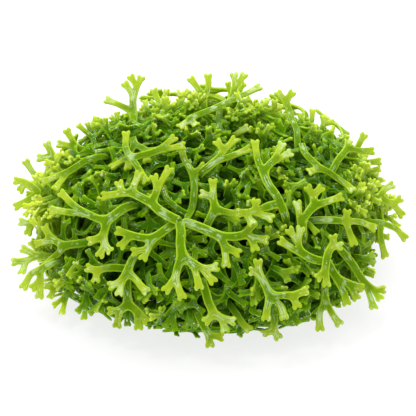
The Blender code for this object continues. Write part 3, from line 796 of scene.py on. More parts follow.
class Thallus:
    """One thallus: a flat forked outline through its joints, which is then given its thickness.

    A row is the numbers of three stations across the ribbon: left margin, midline, right margin.
    """

    def __init__(self, size: StrapSize, rng: random.Random, ends: LobeEnd) -> None:
        """Start an empty outline.

        Args:
            size: The ribbon's sizes.
            rng: The thallus's own random numbers.
            ends: How finely the lobes' ends are drawn.
        """
        self.size = size
        self.rng = rng
        self.ends = ends
        self.vary = rng.random()
        self.stations: list[Station] = []
        self.flat: list[tuple[int, ...]] = []

    def add(self, *values: object) -> int:
        """Add a station with these values, and give its number."""
        self.stations.append(Station(*values))
        return len(self.stations) - 1

    def row(self, place: Vector, face: Vector, way: Vector, half: float, tip: float) -> Row:
        """Add a row.

        Args:
            place: Its middle.
            face: The direction that its surface looks.
            way: The direction that the ribbon runs.
            half: Half the ribbon's width.
            tip: Its tip mark.

        Returns:
            The row.
        """
        side = face.cross(way).normalized()
        edge = self.size.margin_height
        left = self.add(place + side * half, face, 1.0, tip, edge, edge)
        middle = self.add(place, face, 0.0, tip, self.size.groove_height, 1.0)
        right = self.add(place - side * half, face, 1.0, tip, edge, edge)
        return left, middle, right

    def band(self, near: Sequence[int], far: Sequence[int]) -> None:
        """Fill the ribbon between two lines of as many stations."""
        for index in range(len(near) - 1):
            self.flat.append((near[index], near[index + 1], far[index + 1], far[index]))

    def half_width(self, order: int) -> float:
        """Give half the width of an arm that has so many forks beyond it."""
        widenings = min(order, self.size.most_widenings)
        return self.size.width * (1.0 + self.size.widening * widenings) / 2.0

    def tip_of(self, to_lobe: float) -> float:
        """Give the tip mark at a distance from the nearest lobe, which runs on below 0."""
        return 1.0 - to_lobe / self.size.tip_fade

    def crotch(self, joint: Joint, first: Joint, second: Joint, half: float) -> Vector:
        """Find the outline point between two neighbouring arms, with some web where they meet.

        Args:
            joint: The fork.
            first: The joint that the first arm leads to.
            second: The joint that the next arm leads to, going round the fork's face.
            half: Half the ribbon's width here.

        Returns:
            The point.
        """
        first_way = flattened(first.place - joint.place, joint.face)
        second_way = flattened(second.place - joint.place, joint.face)
        half_angle = turn_of(first_way, second_way, joint.face) / 2.0
        bisector = Matrix.Rotation(half_angle, 3, joint.face) @ first_way
        shorter = min((first.place - joint.place).length, (second.place - joint.place).length)
        size = self.size
        room = size.arm_share * shorter / max(math.cos(half_angle), size.least_slope)
        reach = min(half / max(math.sin(half_angle), size.least_slope), room, size.web_reach)
        if half_angle < size.gap_angle:
            reach *= size.gap_share
        return joint.place + bisector * reach

    def hub(self, joint: Joint, parent: Joint | None) -> Row | None:
        """Add a bend or a fork and all that grows on from it.

        Args:
            joint: The bend or fork.
            parent: The joint that it grows from.

        Returns:
            The row that looks to the parent, seen from the parent, or None at the root.
        """
        face = joint.face
        others = list(joint.arms) if parent is None else [parent, *joint.arms]
        ways = [flattened(other.place - joint.place, face) for other in others]
        turns = [turn_of(ways[0], way, face) for way in ways]
        around = sorted(range(len(others)), key=lambda index: turns[index])
        half = self.half_width(joint.order())
        tip = self.tip_of(joint.to_lobe())
        edge = self.size.margin_height
        groove = self.size.groove_height
        ring = []
        for index, current in enumerate(around):
            following = others[around[(index + 1) % len(around)]]
            place = self.crotch(joint, others[current], following, half)
            ring.append(self.add(place, face, 1.0, tip, edge, edge))
        centre = self.add(joint.place, face, 0.0, tip, groove, 1.0)
        mids = [centre] * len(around)
        if len(around) > 2:
            for index, current in enumerate(around):
                way = ways[current]
                corners = (self.stations[ring[index - 1]], self.stations[ring[index]])
                reach = sum((corner.place - joint.place).dot(way) for corner in corners) / 2.0
                mids[index] = self.add(joint.place + way * reach, face, 0.0, tip, groove, 1.0)
            for index in range(len(around)):
                following = mids[(index + 1) % len(mids)]
                self.flat.append((centre, mids[index], ring[index], following))
        towards_parent = None
        for index, current in enumerate(around):
            right, left = ring[index - 1], ring[index]
            if others[current] is parent:
                towards_parent = (right, mids[index], left)
                continue
            self.arm(joint, others[current], (left, mids[index], right))
        return towards_parent

    def arm(self, joint: Joint, child: Joint, near: Row) -> None:
        """Add the arm from a joint to the next, and all that grows on from there.

        Args:
            joint: The joint that the arm leaves.
            child: The joint that it leads to.
            near: The row that it starts from.
        """
        if not child.arms:
            self.lobe(joint, child, near)
            return
        far = self.hub(child, joint)
        ends = (self.stations[near[1]].place, self.stations[far[1]].place)
        self.span(near, far, ends, (joint.face, child.face), self.half_width(child.order()))

    def span(
        self, near: Row, far: Row | None, ends: tuple[Vector, Vector], looks: tuple[Vector, Vector],
        half: float,
    ) -> Row:
        """Fill a stretch of an arm with rows a small step apart.

        Args:
            near: The row that it starts from.
            far: The row that it ends at, or None to end at its last own row.
            ends: The first and last points of its midline.
            looks: The directions that the surface looks at both ends.
            half: Half the ribbon's width.

        Returns:
            The last row.
        """
        size = self.size
        start, end = ends
        way = end - start
        count = max(0, round(way.length / size.row_gap) - (far is not None))
        sway = self.rng.uniform(-size.sway, size.sway) * size.width
        lift = self.rng.uniform(*size.arch) * size.width
        near_tip = self.stations[near[1]].tip
        far_tip = 1.0 if far is None else self.stations[far[1]].tip
        for index in range(count):
            share = (index + 1.0) / (count + (far is not None))
            bow = math.sin(math.pi * share)
            face = looks[0].lerp(looks[1], share).normalized()
            side = face.cross(way).normalized()
            place = start + way * share + side * sway * bow + face * lift * bow
            fresh = self.row(place, face, way, half, near_tip + (far_tip - near_tip) * share)
            self.band(near, fresh)
            near = fresh
        if far is None:
            return near
        self.band(near, far)
        return far

    def lobe(self, joint: Joint, child: Joint, near: Row) -> None:
        """Add an arm that ends in a lobe: a neck, a widening, and two knobs with a notch between.

        Args:
            joint: The joint that the arm leaves.
            child: The lobe's end.
            near: The row that the arm starts from.
        """
        size = self.size
        start = self.stations[near[1]].place
        way = (child.place - start).normalized()
        length = (child.place - start).length
        face = child.face
        lobe = min(size.lobe_length, length * size.lobe_limit)
        neck = min(size.neck_length, length * size.neck_limit)
        neck_end = child.place - way * (lobe + neck)
        if (neck_end - start).length > size.row_gap * size.least_run:
            near = self.span(near, None, (start, neck_end), (joint.face, face), self.half_width(0))
        tip = self.tip_of(lobe)
        side = face.cross(way).normalized()
        edge = size.margin_height
        shoulder = size.lobe_width / 2.0
        base = child.place - way * lobe * size.waist_place
        ahead = child.place + way * size.lobe_reach
        waist = []
        knobs = []
        tips = []
        outline = self.ends.outline
        for index, (across, rise) in enumerate(outline):
            even = 1.0 - 2.0 * index / (len(outline) - 1)
            round_off = 1.0 - even * even
            top = edge + (size.groove_height - edge) * round_off
            under = edge + (1.0 - edge) * round_off
            place = base + side * even * shoulder * size.waist_share
            waist.append(self.add(place, face, abs(even), tip, top, under))
            full = size.knob_height if 0.0 < abs(even) < 1.0 else edge * size.notch_height
            end = ahead + side * across * shoulder + way * rise * size.lobe_width
            knob = place.lerp(end, size.knob_place)
            knobs.append(self.add(knob, face, max(abs(even), size.knob_across), 1.0, full, full))
            tips.append(self.add(end, face, 1.0, 1.0, size.end_height, size.end_height))
        middle = len(waist) // 2
        self.fan(near[0], near[1], waist[: middle + 1], True)
        self.fan(near[2], near[1], waist[: middle - 1 : -1], False)
        self.band(waist, knobs)
        self.band(knobs, tips)

    def fan(self, corner: int, middle: int, columns: list[int], leftwards: bool) -> None:
        """Fill between half a row and half a lobe's waist.

        Args:
            corner: The row's station on the margin.
            middle: Its station on the midline.
            columns: The waist's stations, from the margin to the midline.
            leftwards: Whether it is the left half.
        """
        fans = [(corner, columns[index + 1], columns[index]) for index in range(len(columns) - 2)]
        fans.append((corner, middle, columns[-1], columns[-2]))
        self.flat.extend(fans if leftwards else (corners[::-1] for corners in fans))

    def grow(self, root: Joint, dive: float, meeting: Vector | None = None) -> None:
        """Add the whole thallus from its root.

        Args:
            root: Its root joint.
            dive: How far the ribbon runs down into the clump behind the root.
            meeting: The point that it runs on to instead, where it meets its neighbours.
        """
        if len(root.arms) != 1:
            self.hub(root, None)
            return
        child = root.arms[0]
        way = (child.place - root.place).normalized()
        face = flattened(root.face, way)
        half = self.half_width(root.order())
        to_lobe = root.to_lobe()
        rows = [self.row(root.place, face, way, half, self.tip_of(to_lobe))]
        if meeting is None:
            for run, drop, wide in self.size.root_rows:
                place = root.place - way * run - face * drop * dive
                bend = (way * run + face * drop * dive).normalized()
                tip = self.tip_of(to_lobe + run)
                rows.insert(0, self.row(place, flattened(face, bend), bend, half * wide, tip))
        else:
            back = root.place - meeting
            for share, sink, wide in self.size.meeting_rows:
                place = root.place - back * share - face * sink
                bend = way.lerp(back.normalized(), share).normalized()
                tip = self.tip_of(to_lobe + back.length * share)
                rows.insert(0, self.row(place, flattened(face, bend), bend, half * wide, tip))
        for near, far in zip(rows, rows[1:]):
            self.band(near, far)
        self.arm(root, child, rows[-1])

    def add_to(self, mesh: StrapMesh, cushion: Cushion) -> None:
        """Give the outline its thickness and add it to a mesh.

        Args:
            mesh: The mesh, which may hold other thalli.
            cushion: The clump's overall form, which the lift mark is measured from.
        """
        half = self.size.thickness / 2.0
        first = len(mesh.points)
        count = len(self.stations)
        for side in (1.0, -1.0):
            for station in self.stations:
                height = station.top if side > 0.0 else station.under
                point = station.place + station.face * half * height * side
                point.z = max(point.z, FLOOR_GAP)
                mesh.points.append(point)
                # The lift mark carries the painted shade of depth, the pale mark the painted backlight.
                for mark, value in (
                    (Mark.ACROSS, station.across), (Mark.TIP, station.tip), (Mark.VARY, self.vary),
                    (Mark.LIFT, cushion.lift_of(point) / MM), (Mark.PALE, cushion.painted_backlight(point)),
                ):
                    mesh.marks[mark].append(value)
        edges = {}
        for corners in self.flat:
            mesh.faces.append(tuple(first + corner for corner in corners))
            mesh.faces.append(tuple(first + count + corner for corner in reversed(corners)))
            for pair in zip(corners, corners[1:] + corners[:1]):
                edges[pair] = None
        for start, end in edges:
            if (end, start) not in edges:
                rim = (end, start, count + start, count + end)
                mesh.faces.append(tuple(first + corner for corner in rim))


@dataclass(frozen=True)
class Weave:
    """A layer of small thalli that lie side by side over the whole clump, with round gaps between.

    `spacing` is between the gaps' middles, `lift` the range over the cushion, and `most` the most forks
    that one thallus has. The `relax` values say how the forks are evened out, and the `noise` values
    how the swell and the tilt of the layer differ from those of the others.
    """

    name: str
    seed: int
    spacing: float
    lift: Pair
    scale: float
    ends: LobeEnd
    rounding: int
    most: int
    tilt: float = 0.8
    tries: int = 14000
    lowest: float = -0.85
    relax_rounds: int = 2
    relax_share: float = 0.45
    swell_share: float = 0.6
    lift_play: float = 0.3
    tilt_detail: float = 1.7
    noise_step: float = 3.0
    noise_aside: float = 7.0
    both_lobes: float = 0.12
    lobe_run: Pair = (0.85, 1.15)
    lobe_rise: Pair = (0.2, 1.0)
    lobe_height: float = 0.45 * MM
    lobe_aside: float = 0.30 * MM


class Grouping:
    """Keeps which forks of a layer belong to one thallus, and how many it has."""

    def __init__(self, count: int) -> None:
        """Start with each fork by itself."""
        self.chosen = list(range(count))
        self.sizes = [1] * count

    def head(self, index: int) -> int:
        """Find the fork that stands for the thallus that a fork belongs to."""
        while self.chosen[index] != index:
            index = self.chosen[index]
        return index

    def join(self, first: int, second: int, most: int) -> bool:
        """Join the thalli of two forks into one, if they are two.

        Args:
            first: One fork.
            second: The other.
            most: The most forks that the joined thallus may have.

        Returns:
            Whether they were joined.
        """
        heads = self.head(first), self.head(second)
        if heads[0] == heads[1] or self.sizes[heads[0]] + self.sizes[heads[1]] > most:
            return False
        self.chosen[heads[0]] = heads[1]
        self.sizes[heads[1]] += self.sizes[heads[0]]
        return True


@dataclass
class WovenThalli:
    """The forks of one layer: where they lie, and which are joined by an arm.

    A fork sinks by steps of `sinking`, down to `deepest`, until it has `room` to the large thalli. Up to
    `skirt_height` the layer stands out by up to `skirt` more, and no fork lies below `foot`.
    """

    weave: Weave
    cushion: Cushion
    sight: Sight
    large: BVHTree
    room: float = 0.62 * MM
    sinking: float = 0.3 * MM
    deepest: float = 3.3 * MM
    swell_size: float = 3.2 * MM
    foot: float = 0.45 * MM
    skirt: float = 2.2 * MM
    skirt_height: float = 4.5 * MM
    facing: float = 0.35

    def scatter(self, rng: random.Random) -> list[Vector]:
        """Scatter points over the cushion, none closer together than the spacing.

        Args:
            rng: The layer's random numbers.

        Returns:
            The points.
        """
        spacing = self.weave.spacing
        cells: dict[tuple[int, ...], list[Vector]] = {}
        points = []
        near = [(x, y, z) for x in (-1, 0, 1) for y in (-1, 0, 1) for z in (-1, 0, 1)]
        for _ in range(self.weave.tries):
            place = self.cushion.at(random_way(rng, self.weave.lowest), 0.0)
            cell = tuple(math.floor(value / spacing) for value in place)
            others = [
                other for step in near
                for other in cells.get(tuple(map(sum, zip(cell, step))), ())
            ]
            if all((place - other).length >= spacing for other in others):
                cells.setdefault(cell, []).append(place)
                points.append(place)
        return points

    def net(self, points: list[Vector]) -> tuple[list[Vector], list[tuple[int, int]]]:
        """Find the forks that ring the points, and the arms between them.

        Args:
            points: The middles of the gaps.

        Returns:
            The forks' places, and the pairs of forks that an arm may join.
        """
        shell = bmesh.new()
        for point in points:
            shell.verts.new(point)
        bmesh.ops.convex_hull(shell, input=shell.verts[:])
        bmesh.ops.beautify_fill(shell, faces=shell.faces[:], edges=shell.edges[:], method="ANGLE")
        shell.faces.sort(key=lambda face: face.calc_center_median().x)
        shell.faces.index_update()
        places = [face.calc_center_median() for face in shell.faces]
        pairs = sorted(
            tuple(sorted(face.index for face in edge.link_faces))
            for edge in shell.edges if len(edge.link_faces) == 2
        )
        shell.free()
        beside: list[list[int]] = [[] for _ in places]
        for first, second in pairs:
            beside[first].append(second)
            beside[second].append(first)
        for _ in range(self.weave.relax_rounds):
            means = [
                sum((places[other] for other in others), Vector()) / len(others) for others in beside
            ]
            places = [
                place.lerp(mean, self.weave.relax_share) for place, mean in zip(places, means)
            ]
        return places, pairs

    def settle(self, place: Vector, rng: random.Random) -> Vector | None:
        """Lay a fork in its layer, or deeper to clear the large thalli and the view's edge.

        Args:
            place: Where it is round the cushion.
            rng: The layer's random numbers.

        Returns:
            The place, or None where there is no room.
        """
        weave = self.weave
        low, high = weave.lift
        swell = noise.noise(place / self.swell_size + Vector((weave.seed, 0.0, 0.0)))
        share = 0.5 + swell * weave.swell_share + rng.uniform(-weave.lift_play, weave.lift_play)
        lift = low + (high - low) * min(max(share, 0.0), 1.0)
        lift += self.skirt * max(1.0 - place.z / self.skirt_height, 0.0)
        if place.z < self.foot / 2.0:
            return None
        for _ in range(math.ceil(self.deepest / self.sinking)):
            laid = self.cushion.onto(place, lift)
            laid.z = max(laid.z, self.foot)
            if self.large.find_nearest(laid)[3] > self.room:
                if inside(self.sight.pixel(laid), MASS_EDGE):
                    return laid
            lift -= self.sinking
        return None

    def face(self, place: Vector) -> Vector:
        """Give the direction that a fork looks: out of the clump, tilted this way and that."""
        weave = self.weave
        shift = Vector((weave.seed * weave.noise_step, 0.0, weave.noise_aside))
        tilt = noise.noise_vector(place / self.swell_size * weave.tilt_detail + shift) * weave.tilt
        return (self.sight.towards(self.cushion.face(place), self.facing) + tilt).normalized()

    def lobe(self, start: Vector, end: Vector, rng: random.Random) -> Joint:
        """Give the lobe that a fork sends out towards another, over it and a little aside.

        Args:
            start: The fork's place.
            end: Where the other fork is round the cushion.
            rng: The layer's random numbers.

        Returns:
            The lobe's joint.
        """
        weave = self.weave
        out = self.cushion.face(start)
        way = flattened(end - start, out)
        length = (end - start).length
        place = start + way * length * rng.uniform(*weave.lobe_run)
        rise = out * rng.uniform(*weave.lobe_rise) * weave.lobe_height
        place += out.cross(way) * weave.lobe_aside + rise
        place.z = max(place.z, self.cushion.floor_clearance)
        return Joint(place, self.face(place))

    def roots(self) -> list[Joint]:
        """Grow the layer's thalli.

        Returns:
            The root joint of each.
        """
        weave = self.weave
        rng = random.Random(weave.seed)
        noise.seed_set(weave.seed)
        places, pairs = self.net(self.scatter(rng))
        laid = [self.settle(place, rng) for place in places]
        groups = Grouping(len(places))
        kept: list[list[int]] = [[] for _ in places]
        lobes: list[list[Joint]] = [[] for _ in places]
        rng.shuffle(pairs)
        for pair in pairs:
            ends = [index for index in pair if laid[index] is not None]
            if len(ends) == 2 and groups.join(*pair, weave.most):
                kept[pair[0]].append(pair[1])
                kept[pair[1]].append(pair[0])
                continue
            if len(ends) == 2 and rng.random() > weave.both_lobes:
                ends = [rng.choice(ends)]
            for index in ends:
                other = pair[1] if index == pair[0] else pair[0]
                lobes[index].append(self.lobe(laid[index], places[other], rng))

        def joint(index: int, parent: int | None) -> Joint:
            """Make a fork's joint and all that grows on from it."""
            arms = [joint(other, index) for other in kept[index] if other != parent]
            return Joint(laid[index], self.face(laid[index]), arms + lobes[index])

        roots = []
        rooted = set()
        by_arms = sorted(range(len(places)), key=lambda index: len(kept[index]) + len(lobes[index]))
        for index in by_arms:
            head = groups.head(index)
            if laid[index] is None or head in rooted or not kept[index] + lobes[index]:
                continue
            rooted.add(head)
            roots.append(joint(index, None))
        return roots


@dataclass(frozen=True)
class Habit:
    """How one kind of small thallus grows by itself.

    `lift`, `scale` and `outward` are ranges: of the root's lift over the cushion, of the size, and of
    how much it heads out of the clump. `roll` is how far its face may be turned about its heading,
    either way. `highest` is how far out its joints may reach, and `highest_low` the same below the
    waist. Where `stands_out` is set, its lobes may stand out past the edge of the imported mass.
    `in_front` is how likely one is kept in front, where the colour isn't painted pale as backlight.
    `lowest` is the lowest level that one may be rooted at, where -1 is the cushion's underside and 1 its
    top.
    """

    name: str
    count: int
    seed: int
    lift: Pair
    scale: Pair
    step: float
    forks: int
    outward: Pair
    roll: float
    highest: float
    highest_low: float
    stands_out: bool
    in_front: float
    lowest: float = -0.75


@dataclass
class PackedThalli:
    """The small thalli that the clump is packed of, grown round its middle in layers."""

    sight: Sight
    cushion: Cushion
    large: BVHTree
    size: StrapSize = PACKED_SIZE
    room: float = 0.62 * MM
    traced_scale: float = 0.84
    traced_seed: int = 900
    dive: float = 1.0 * MM
    fork_half_angle: float = math.radians(34.0)
    shrink: float = 0.84
    turn_play: float = 0.3
    bend_play: float = 0.35
    roll_play: float = 0.25
    step_play: Pair = (0.8, 1.2)
    crown_height: float = 13.5 * MM
    facing: float = 1.2
    least_face: float = 0.05
    habits: tuple[Habit, ...] = (
        Habit("surface", 80, 11, (-0.9 * MM, -0.1 * MM), (0.74, 0.96), 2.0 * MM, 2,
              (-0.1, 0.25), 0.5, 0.4 * MM, 0.1 * MM, False, 1.0),
        Habit("rim", 145, 15, (-1.2 * MM, -0.3 * MM), (0.78, 0.96), 1.75 * MM, 2,
              (0.1, 1.1), 1.0, 2.0 * MM, 1.4 * MM, True, 0.06),
        Habit("sprig", 390, 14, (-1.3 * MM, -0.2 * MM), (0.66, 0.86), 1.5 * MM, 1,
              (0.2, 2.0), 1.3, 1.8 * MM, 1.2 * MM, True, 0.40),
    )
    weaves: tuple[Weave, ...] = (
        Weave("upper", 21, 1.8 * MM, (-1.3 * MM, 0.1 * MM), 0.70, LobeEnd.NOTCHED, 1, 11),
        Weave("lower", 22, 2.0 * MM, (-2.7 * MM, -1.6 * MM), 0.90, LobeEnd.ROUNDED, 0, 14),
        Weave("lowest", 23, 2.5 * MM, (-4.0 * MM, -3.0 * MM), 1.1, LobeEnd.BLUNT, 0, 30),
    )

    def __post_init__(self) -> None:
        """Start with no layer made."""
        self.meshes: dict[tuple[str, int], StrapMesh] = {}

    def joint(
        self, rng: random.Random, place: Vector, heading: Vector, roll: float, step: float,
        forks: int, depth: int = 0,
    ) -> Joint:
        """Grow a small thallus freely: a stem that forks in twos, turning a little at each joint.

        Args:
            rng: The thallus's own random numbers.
            place: Where this joint is.
            heading: The way that it grows.
            roll: How far its face is turned about the heading from the way out of the clump.
            step: The length of the next arms.
            forks: The forks still to come, below 0 for a lobe.
            depth: The arms between this joint and the root.

        Returns:
            The joint, with its arms.
        """
        out = self.sight.towards(self.cushion.face(place), self.facing)
        face = out - heading * out.dot(heading)
        if face.length < self.least_face:
            face = heading.orthogonal()
        face = Matrix.Rotation(roll, 3, heading) @ face.normalized()
        arms = []
        if forks >= 0:
            turns = (0.0,) if depth == 0 else (-self.fork_half_angle, self.fork_half_angle)
            for turn in turns:
                turn += rng.uniform(-self.turn_play, self.turn_play)
                way = Matrix.Rotation(turn, 3, face) @ heading
                pitch = rng.uniform(-self.bend_play, self.bend_play)
                bend = Matrix.Rotation(pitch, 3, face.cross(way).normalized())
                way = (bend @ way).normalized()
                reach = place + way * step * rng.uniform(*self.step_play)
                reach.z = max(reach.z, self.cushion.floor_clearance)
                twist = roll + rng.uniform(-self.roll_play, self.roll_play)
                shorter = step * self.shrink
                arms.append(self.joint(rng, reach, way, twist, shorter, forks - 1, depth + 1))
        return Joint(place, face, arms)

    def start(self, rng: random.Random, habit: Habit) -> tuple[Vector, Vector]:
        """Choose where a small thallus is rooted and which way it grows.

        Args:
            rng: The habit's random numbers.
            habit: How this kind grows.

        Returns:
            The root's place and the heading.
        """
        way = random_way(rng, habit.lowest)
        lift = rng.uniform(*habit.lift)
        place = self.cushion.onto(self.cushion.at(way, lift), lift)
        out = self.cushion.face(place)
        turn = rng.uniform(0.0, 2.0 * math.pi)
        around = Matrix.Rotation(turn, 3, out) @ out.orthogonal().normalized()
        return place, (around + out * rng.uniform(*habit.outward)).normalized()

    def fits(self, root: Joint, habit: Habit) -> bool:
        """Tell whether a small thallus stays within the clump and clear of every large one.

        Args:
            root: Its root joint.
            habit: How it grows.

        Returns:
            True if it does.
        """
        for joint in root.walk():
            above = joint.place.z > self.cushion.waist
            highest = habit.highest if above else habit.highest_low
            if self.cushion.lift_of(joint.place) > highest:
                return False
            held_in = joint.arms or not habit.stands_out
            if held_in and not inside(self.sight.pixel(joint.place), MASS_EDGE):
                return False
            points = [joint.place, *((joint.place + arm.place) / 2.0 for arm in joint.arms)]
            if any(self.large.find_nearest(point)[3] < self.room for point in points):
                return False
        return True

    def region(self, place: Vector) -> str:
        """Name the part of the clump that a place belongs to."""
        if place.z > self.crown_height:
            return "crown"
        if abs(place.x) > abs(place.y):
            return "right" if place.x > 0.0 else "left"
        return "rear" if place.y > 0.0 else "front"

    def plant(
        self, layer: str, rounding: int, root: Joint, rng: random.Random, scale: float,
        ends: LobeEnd,
    ) -> None:
        """Add a small thallus to its layer's mesh.

        Args:
            layer: The layer's name.
            rounding: How far the layer is rounded by subdivision.
            root: The thallus's root joint.
            rng: Its random numbers.
            scale: Its size.
            ends: How finely its lobes' ends are drawn.
        """
        thallus = Thallus(self.size.scaled(scale), rng, ends)
        thallus.grow(root, self.dive)
        thallus.add_to(self.meshes.setdefault((layer, rounding), StrapMesh()), self.cushion)

    def grow_habit(self, habit: Habit) -> None:
        """Grow all the small thalli of one kind, each where there is room for it.

        Args:
            habit: How this kind grows.
        """
        rng = random.Random(habit.seed)
        made = 0
        while made < habit.count:
            place, heading = self.start(rng, habit)
            roll = rng.uniform(-habit.roll, habit.roll)
            root = self.joint(rng, place, heading, roll, habit.step, habit.forks)
            likely = habit.in_front + self.cushion.painted_backlight(place)
            if rng.random() > likely or not self.fits(root, habit):
                continue
            made += 1
            scale = rng.uniform(*habit.scale)
            layer = f"{habit.name}_{self.region(place)}"
            self.plant(layer, 0, root, rng, scale, LobeEnd.KNOBS)

    def build(self, traced: Sequence[Joint]) -> dict[tuple[str, int], StrapMesh]:
        """Grow all the small thalli.

        Args:
            traced: The small thalli that were read in the view.

        Returns:
            The mesh of each layer and region, by its name and how far it is rounded.
        """
        for index, root in enumerate(traced):
            rng = random.Random(self.traced_seed + index)
            self.plant("traced", 1, root, rng, self.traced_scale, LobeEnd.KNOBS)
        for weave in self.weaves:
            rng = random.Random(weave.seed)
            for root in WovenThalli(weave, self.cushion, self.sight, self.large).roots():
                layer = f"{weave.name}_{self.region(root.place)}"
                self.plant(layer, weave.rounding, root, rng, weave.scale, weave.ends)
        for habit in self.habits:
            self.grow_habit(habit)
        return self.meshes


@dataclass
class Core:
    """The clump's hidden middle: one dark lumpy mass that stands as painted shade for the inside of the
    packed thalli.
    """

    cushion: Cushion
    inset: float = 3.9 * MM
    roughness: float = 0.9 * MM
    subdivisions: int = 5
    lump_size: float = 1.6 * MM
    foot: float = 0.2 * MM

    def build(self) -> Mesh:
        """Model the dark middle as a lumpy mound with a flat foot.

        Returns:
            The mesh.
        """
        shell = bmesh.new()
        bmesh.ops.create_icosphere(shell, subdivisions=self.subdivisions, radius=1.0)
        for vert in shell.verts:
            lump = noise.noise(vert.co * self.cushion.half_width / self.lump_size)
            vert.co = self.cushion.at(vert.co, lump * self.roughness - self.inset)
            vert.co.z = max(vert.co.z, self.foot)
        mesh = bpy.data.meshes.new("packed_core")
        shell.to_mesh(mesh)
        shell.free()
        mesh.shade_smooth()
        return mesh


class NodeKit:
    """Short ways to add and join shader nodes in one node tree.

    A value that is fed to a node is a number or colour, or the output of another node.
    """

    def __init__(self, tree: NodeTree) -> None:
        """Work in this node tree."""
        self.tree = tree

    @classmethod
    def of_new(cls, owner: Material | World) -> "NodeKit":
        """Turn on the nodes of a new material or world, and work in them."""
        owner.use_nodes = True
        return cls(owner.node_tree)

    def add(self, kind: str, **values: object) -> Node:
        """Add a node of a kind, and set its properties.

        Args:
            kind: The kind, without the words that all shader nodes' kinds start with.
            **values: The properties.

        Returns:
            The node.
        """
        node = self.tree.nodes.new(f"ShaderNode{kind}")
        for name, value in values.items():
            setattr(node, name, value)
        return node

    def feed(self, node: Node, **values: object) -> None:
        """Give inputs of a node their values.

        Args:
            node: The node.
            **values: The values by the inputs' names, with _ for each blank.
        """
        for name, value in values.items():
            target = node.inputs[name.replace("_", " ")]
            if isinstance(value, NodeSocket):
                self.tree.links.new(value, target)
            else:
                target.default_value = value

    def math(self, operation: str, *values: object) -> NodeSocket:
        """Combine values by an operation, one after the other.

        Args:
            operation: The operation.
            *values: The values, two or more.

        Returns:
            The result.
        """
        total = values[0]
        for value in values[1:]:
            node = self.add("Math", operation=operation)
            for target, operand in zip(node.inputs, (total, value)):
                if isinstance(operand, NodeSocket):
                    self.tree.links.new(operand, target)
                else:
                    target.default_value = operand
            total = node.outputs[0]
        return total

    def plus(self, *values: object) -> NodeSocket:
        """Add values up."""
        return self.math("ADD", *values)

    def times(self, *values: object) -> NodeSocket:
        """Multiply values."""
        return self.math("MULTIPLY", *values)

    def ramp(self, value: object, low: object, high: object, ends: Pair = (0.0, 1.0)) -> NodeSocket:
        """Add a smooth step.

        Args:
            value: What goes in.
            low: Where the step begins.
            high: Where it ends.
            ends: The results before and after it.

        Returns:
            The result.
        """
        node = self.add("MapRange", interpolation_type="SMOOTHSTEP")
        self.feed(node, Value=value, From_Min=low, From_Max=high, To_Min=ends[0], To_Max=ends[1])
        return node.outputs["Result"]

    def mix(self, share: object, first: object, second: object) -> NodeSocket:
        """Add a mix of two colours."""
        node = self.add("Mix", data_type="RGBA")
        self.feed(node, Factor=share, A=first, B=second)
        return node.outputs["Result"]

    def mark(self, mark: Mark) -> NodeSocket:
        """Read one of the values that a ribbon's points carry."""
        return self.add("Attribute", attribute_name=mark.value).outputs["Fac"]

    def where(self) -> NodeSocket:
        """Read the place on the object, in metres."""
        return self.add("TexCoord").outputs["Object"]

    def play(self, value: object, spread: float) -> NodeSocket:
        """Turn a value from 0 to 1 into one of that spread about 0."""
        return self.times(self.math("SUBTRACT", value, 0.5), spread)

    def noise(self, vector: object, scale: object, detail: float = 2.0) -> NodeSocket:
        """Add a noise texture and give its value."""
        node = self.add("TexNoise")
        self.feed(node, Vector=vector, Scale=scale, Detail=detail)
        return node.outputs["Fac"]


@dataclass(frozen=True)
class Effect:
    """A shader node group: its name and the names of its inputs and outputs."""

    name: str
    colours_in: tuple[str, ...]
    values_in: tuple[str, ...]
    colours_out: tuple[str, ...]
    values_out: tuple[str, ...]

    def start(self) -> tuple[NodeKit, NodeOutputs, Node]:
        """Start the group.
        """
        tree = bpy.data.node_groups.new(self.name, "ShaderNodeTree")
        for way, kind, labels in (
            ("INPUT", "NodeSocketColor", self.colours_in),
            ("INPUT", "NodeSocketFloat", self.values_in),
            ("OUTPUT", "NodeSocketColor", self.colours_out),
            ("OUTPUT", "NodeSocketFloat", self.values_out),
        ):
            for label in labels:
                tree.interface.new_socket(label, in_out=way, socket_type=kind)
        given = tree.nodes.new("NodeGroupInput").outputs
        return NodeKit(tree), given, tree.nodes.new("NodeGroupOutput")

    def place(self, kit: NodeKit, tree: NodeTree, finish: object) -> NodeOutputs:
        """Place the group in a material.

        Args:
            kit: The material's kit.
            tree: The group.
            finish: The finish, which has a value of the same name for each input.

        Returns:
            What the group puts out.
        """
        node = kit.add("Group", node_tree=tree)
        for label in self.colours_in + self.values_in:
            node.inputs[label].default_value = getattr(finish, label.lower().replace(" ", "_"))
        return node.outputs


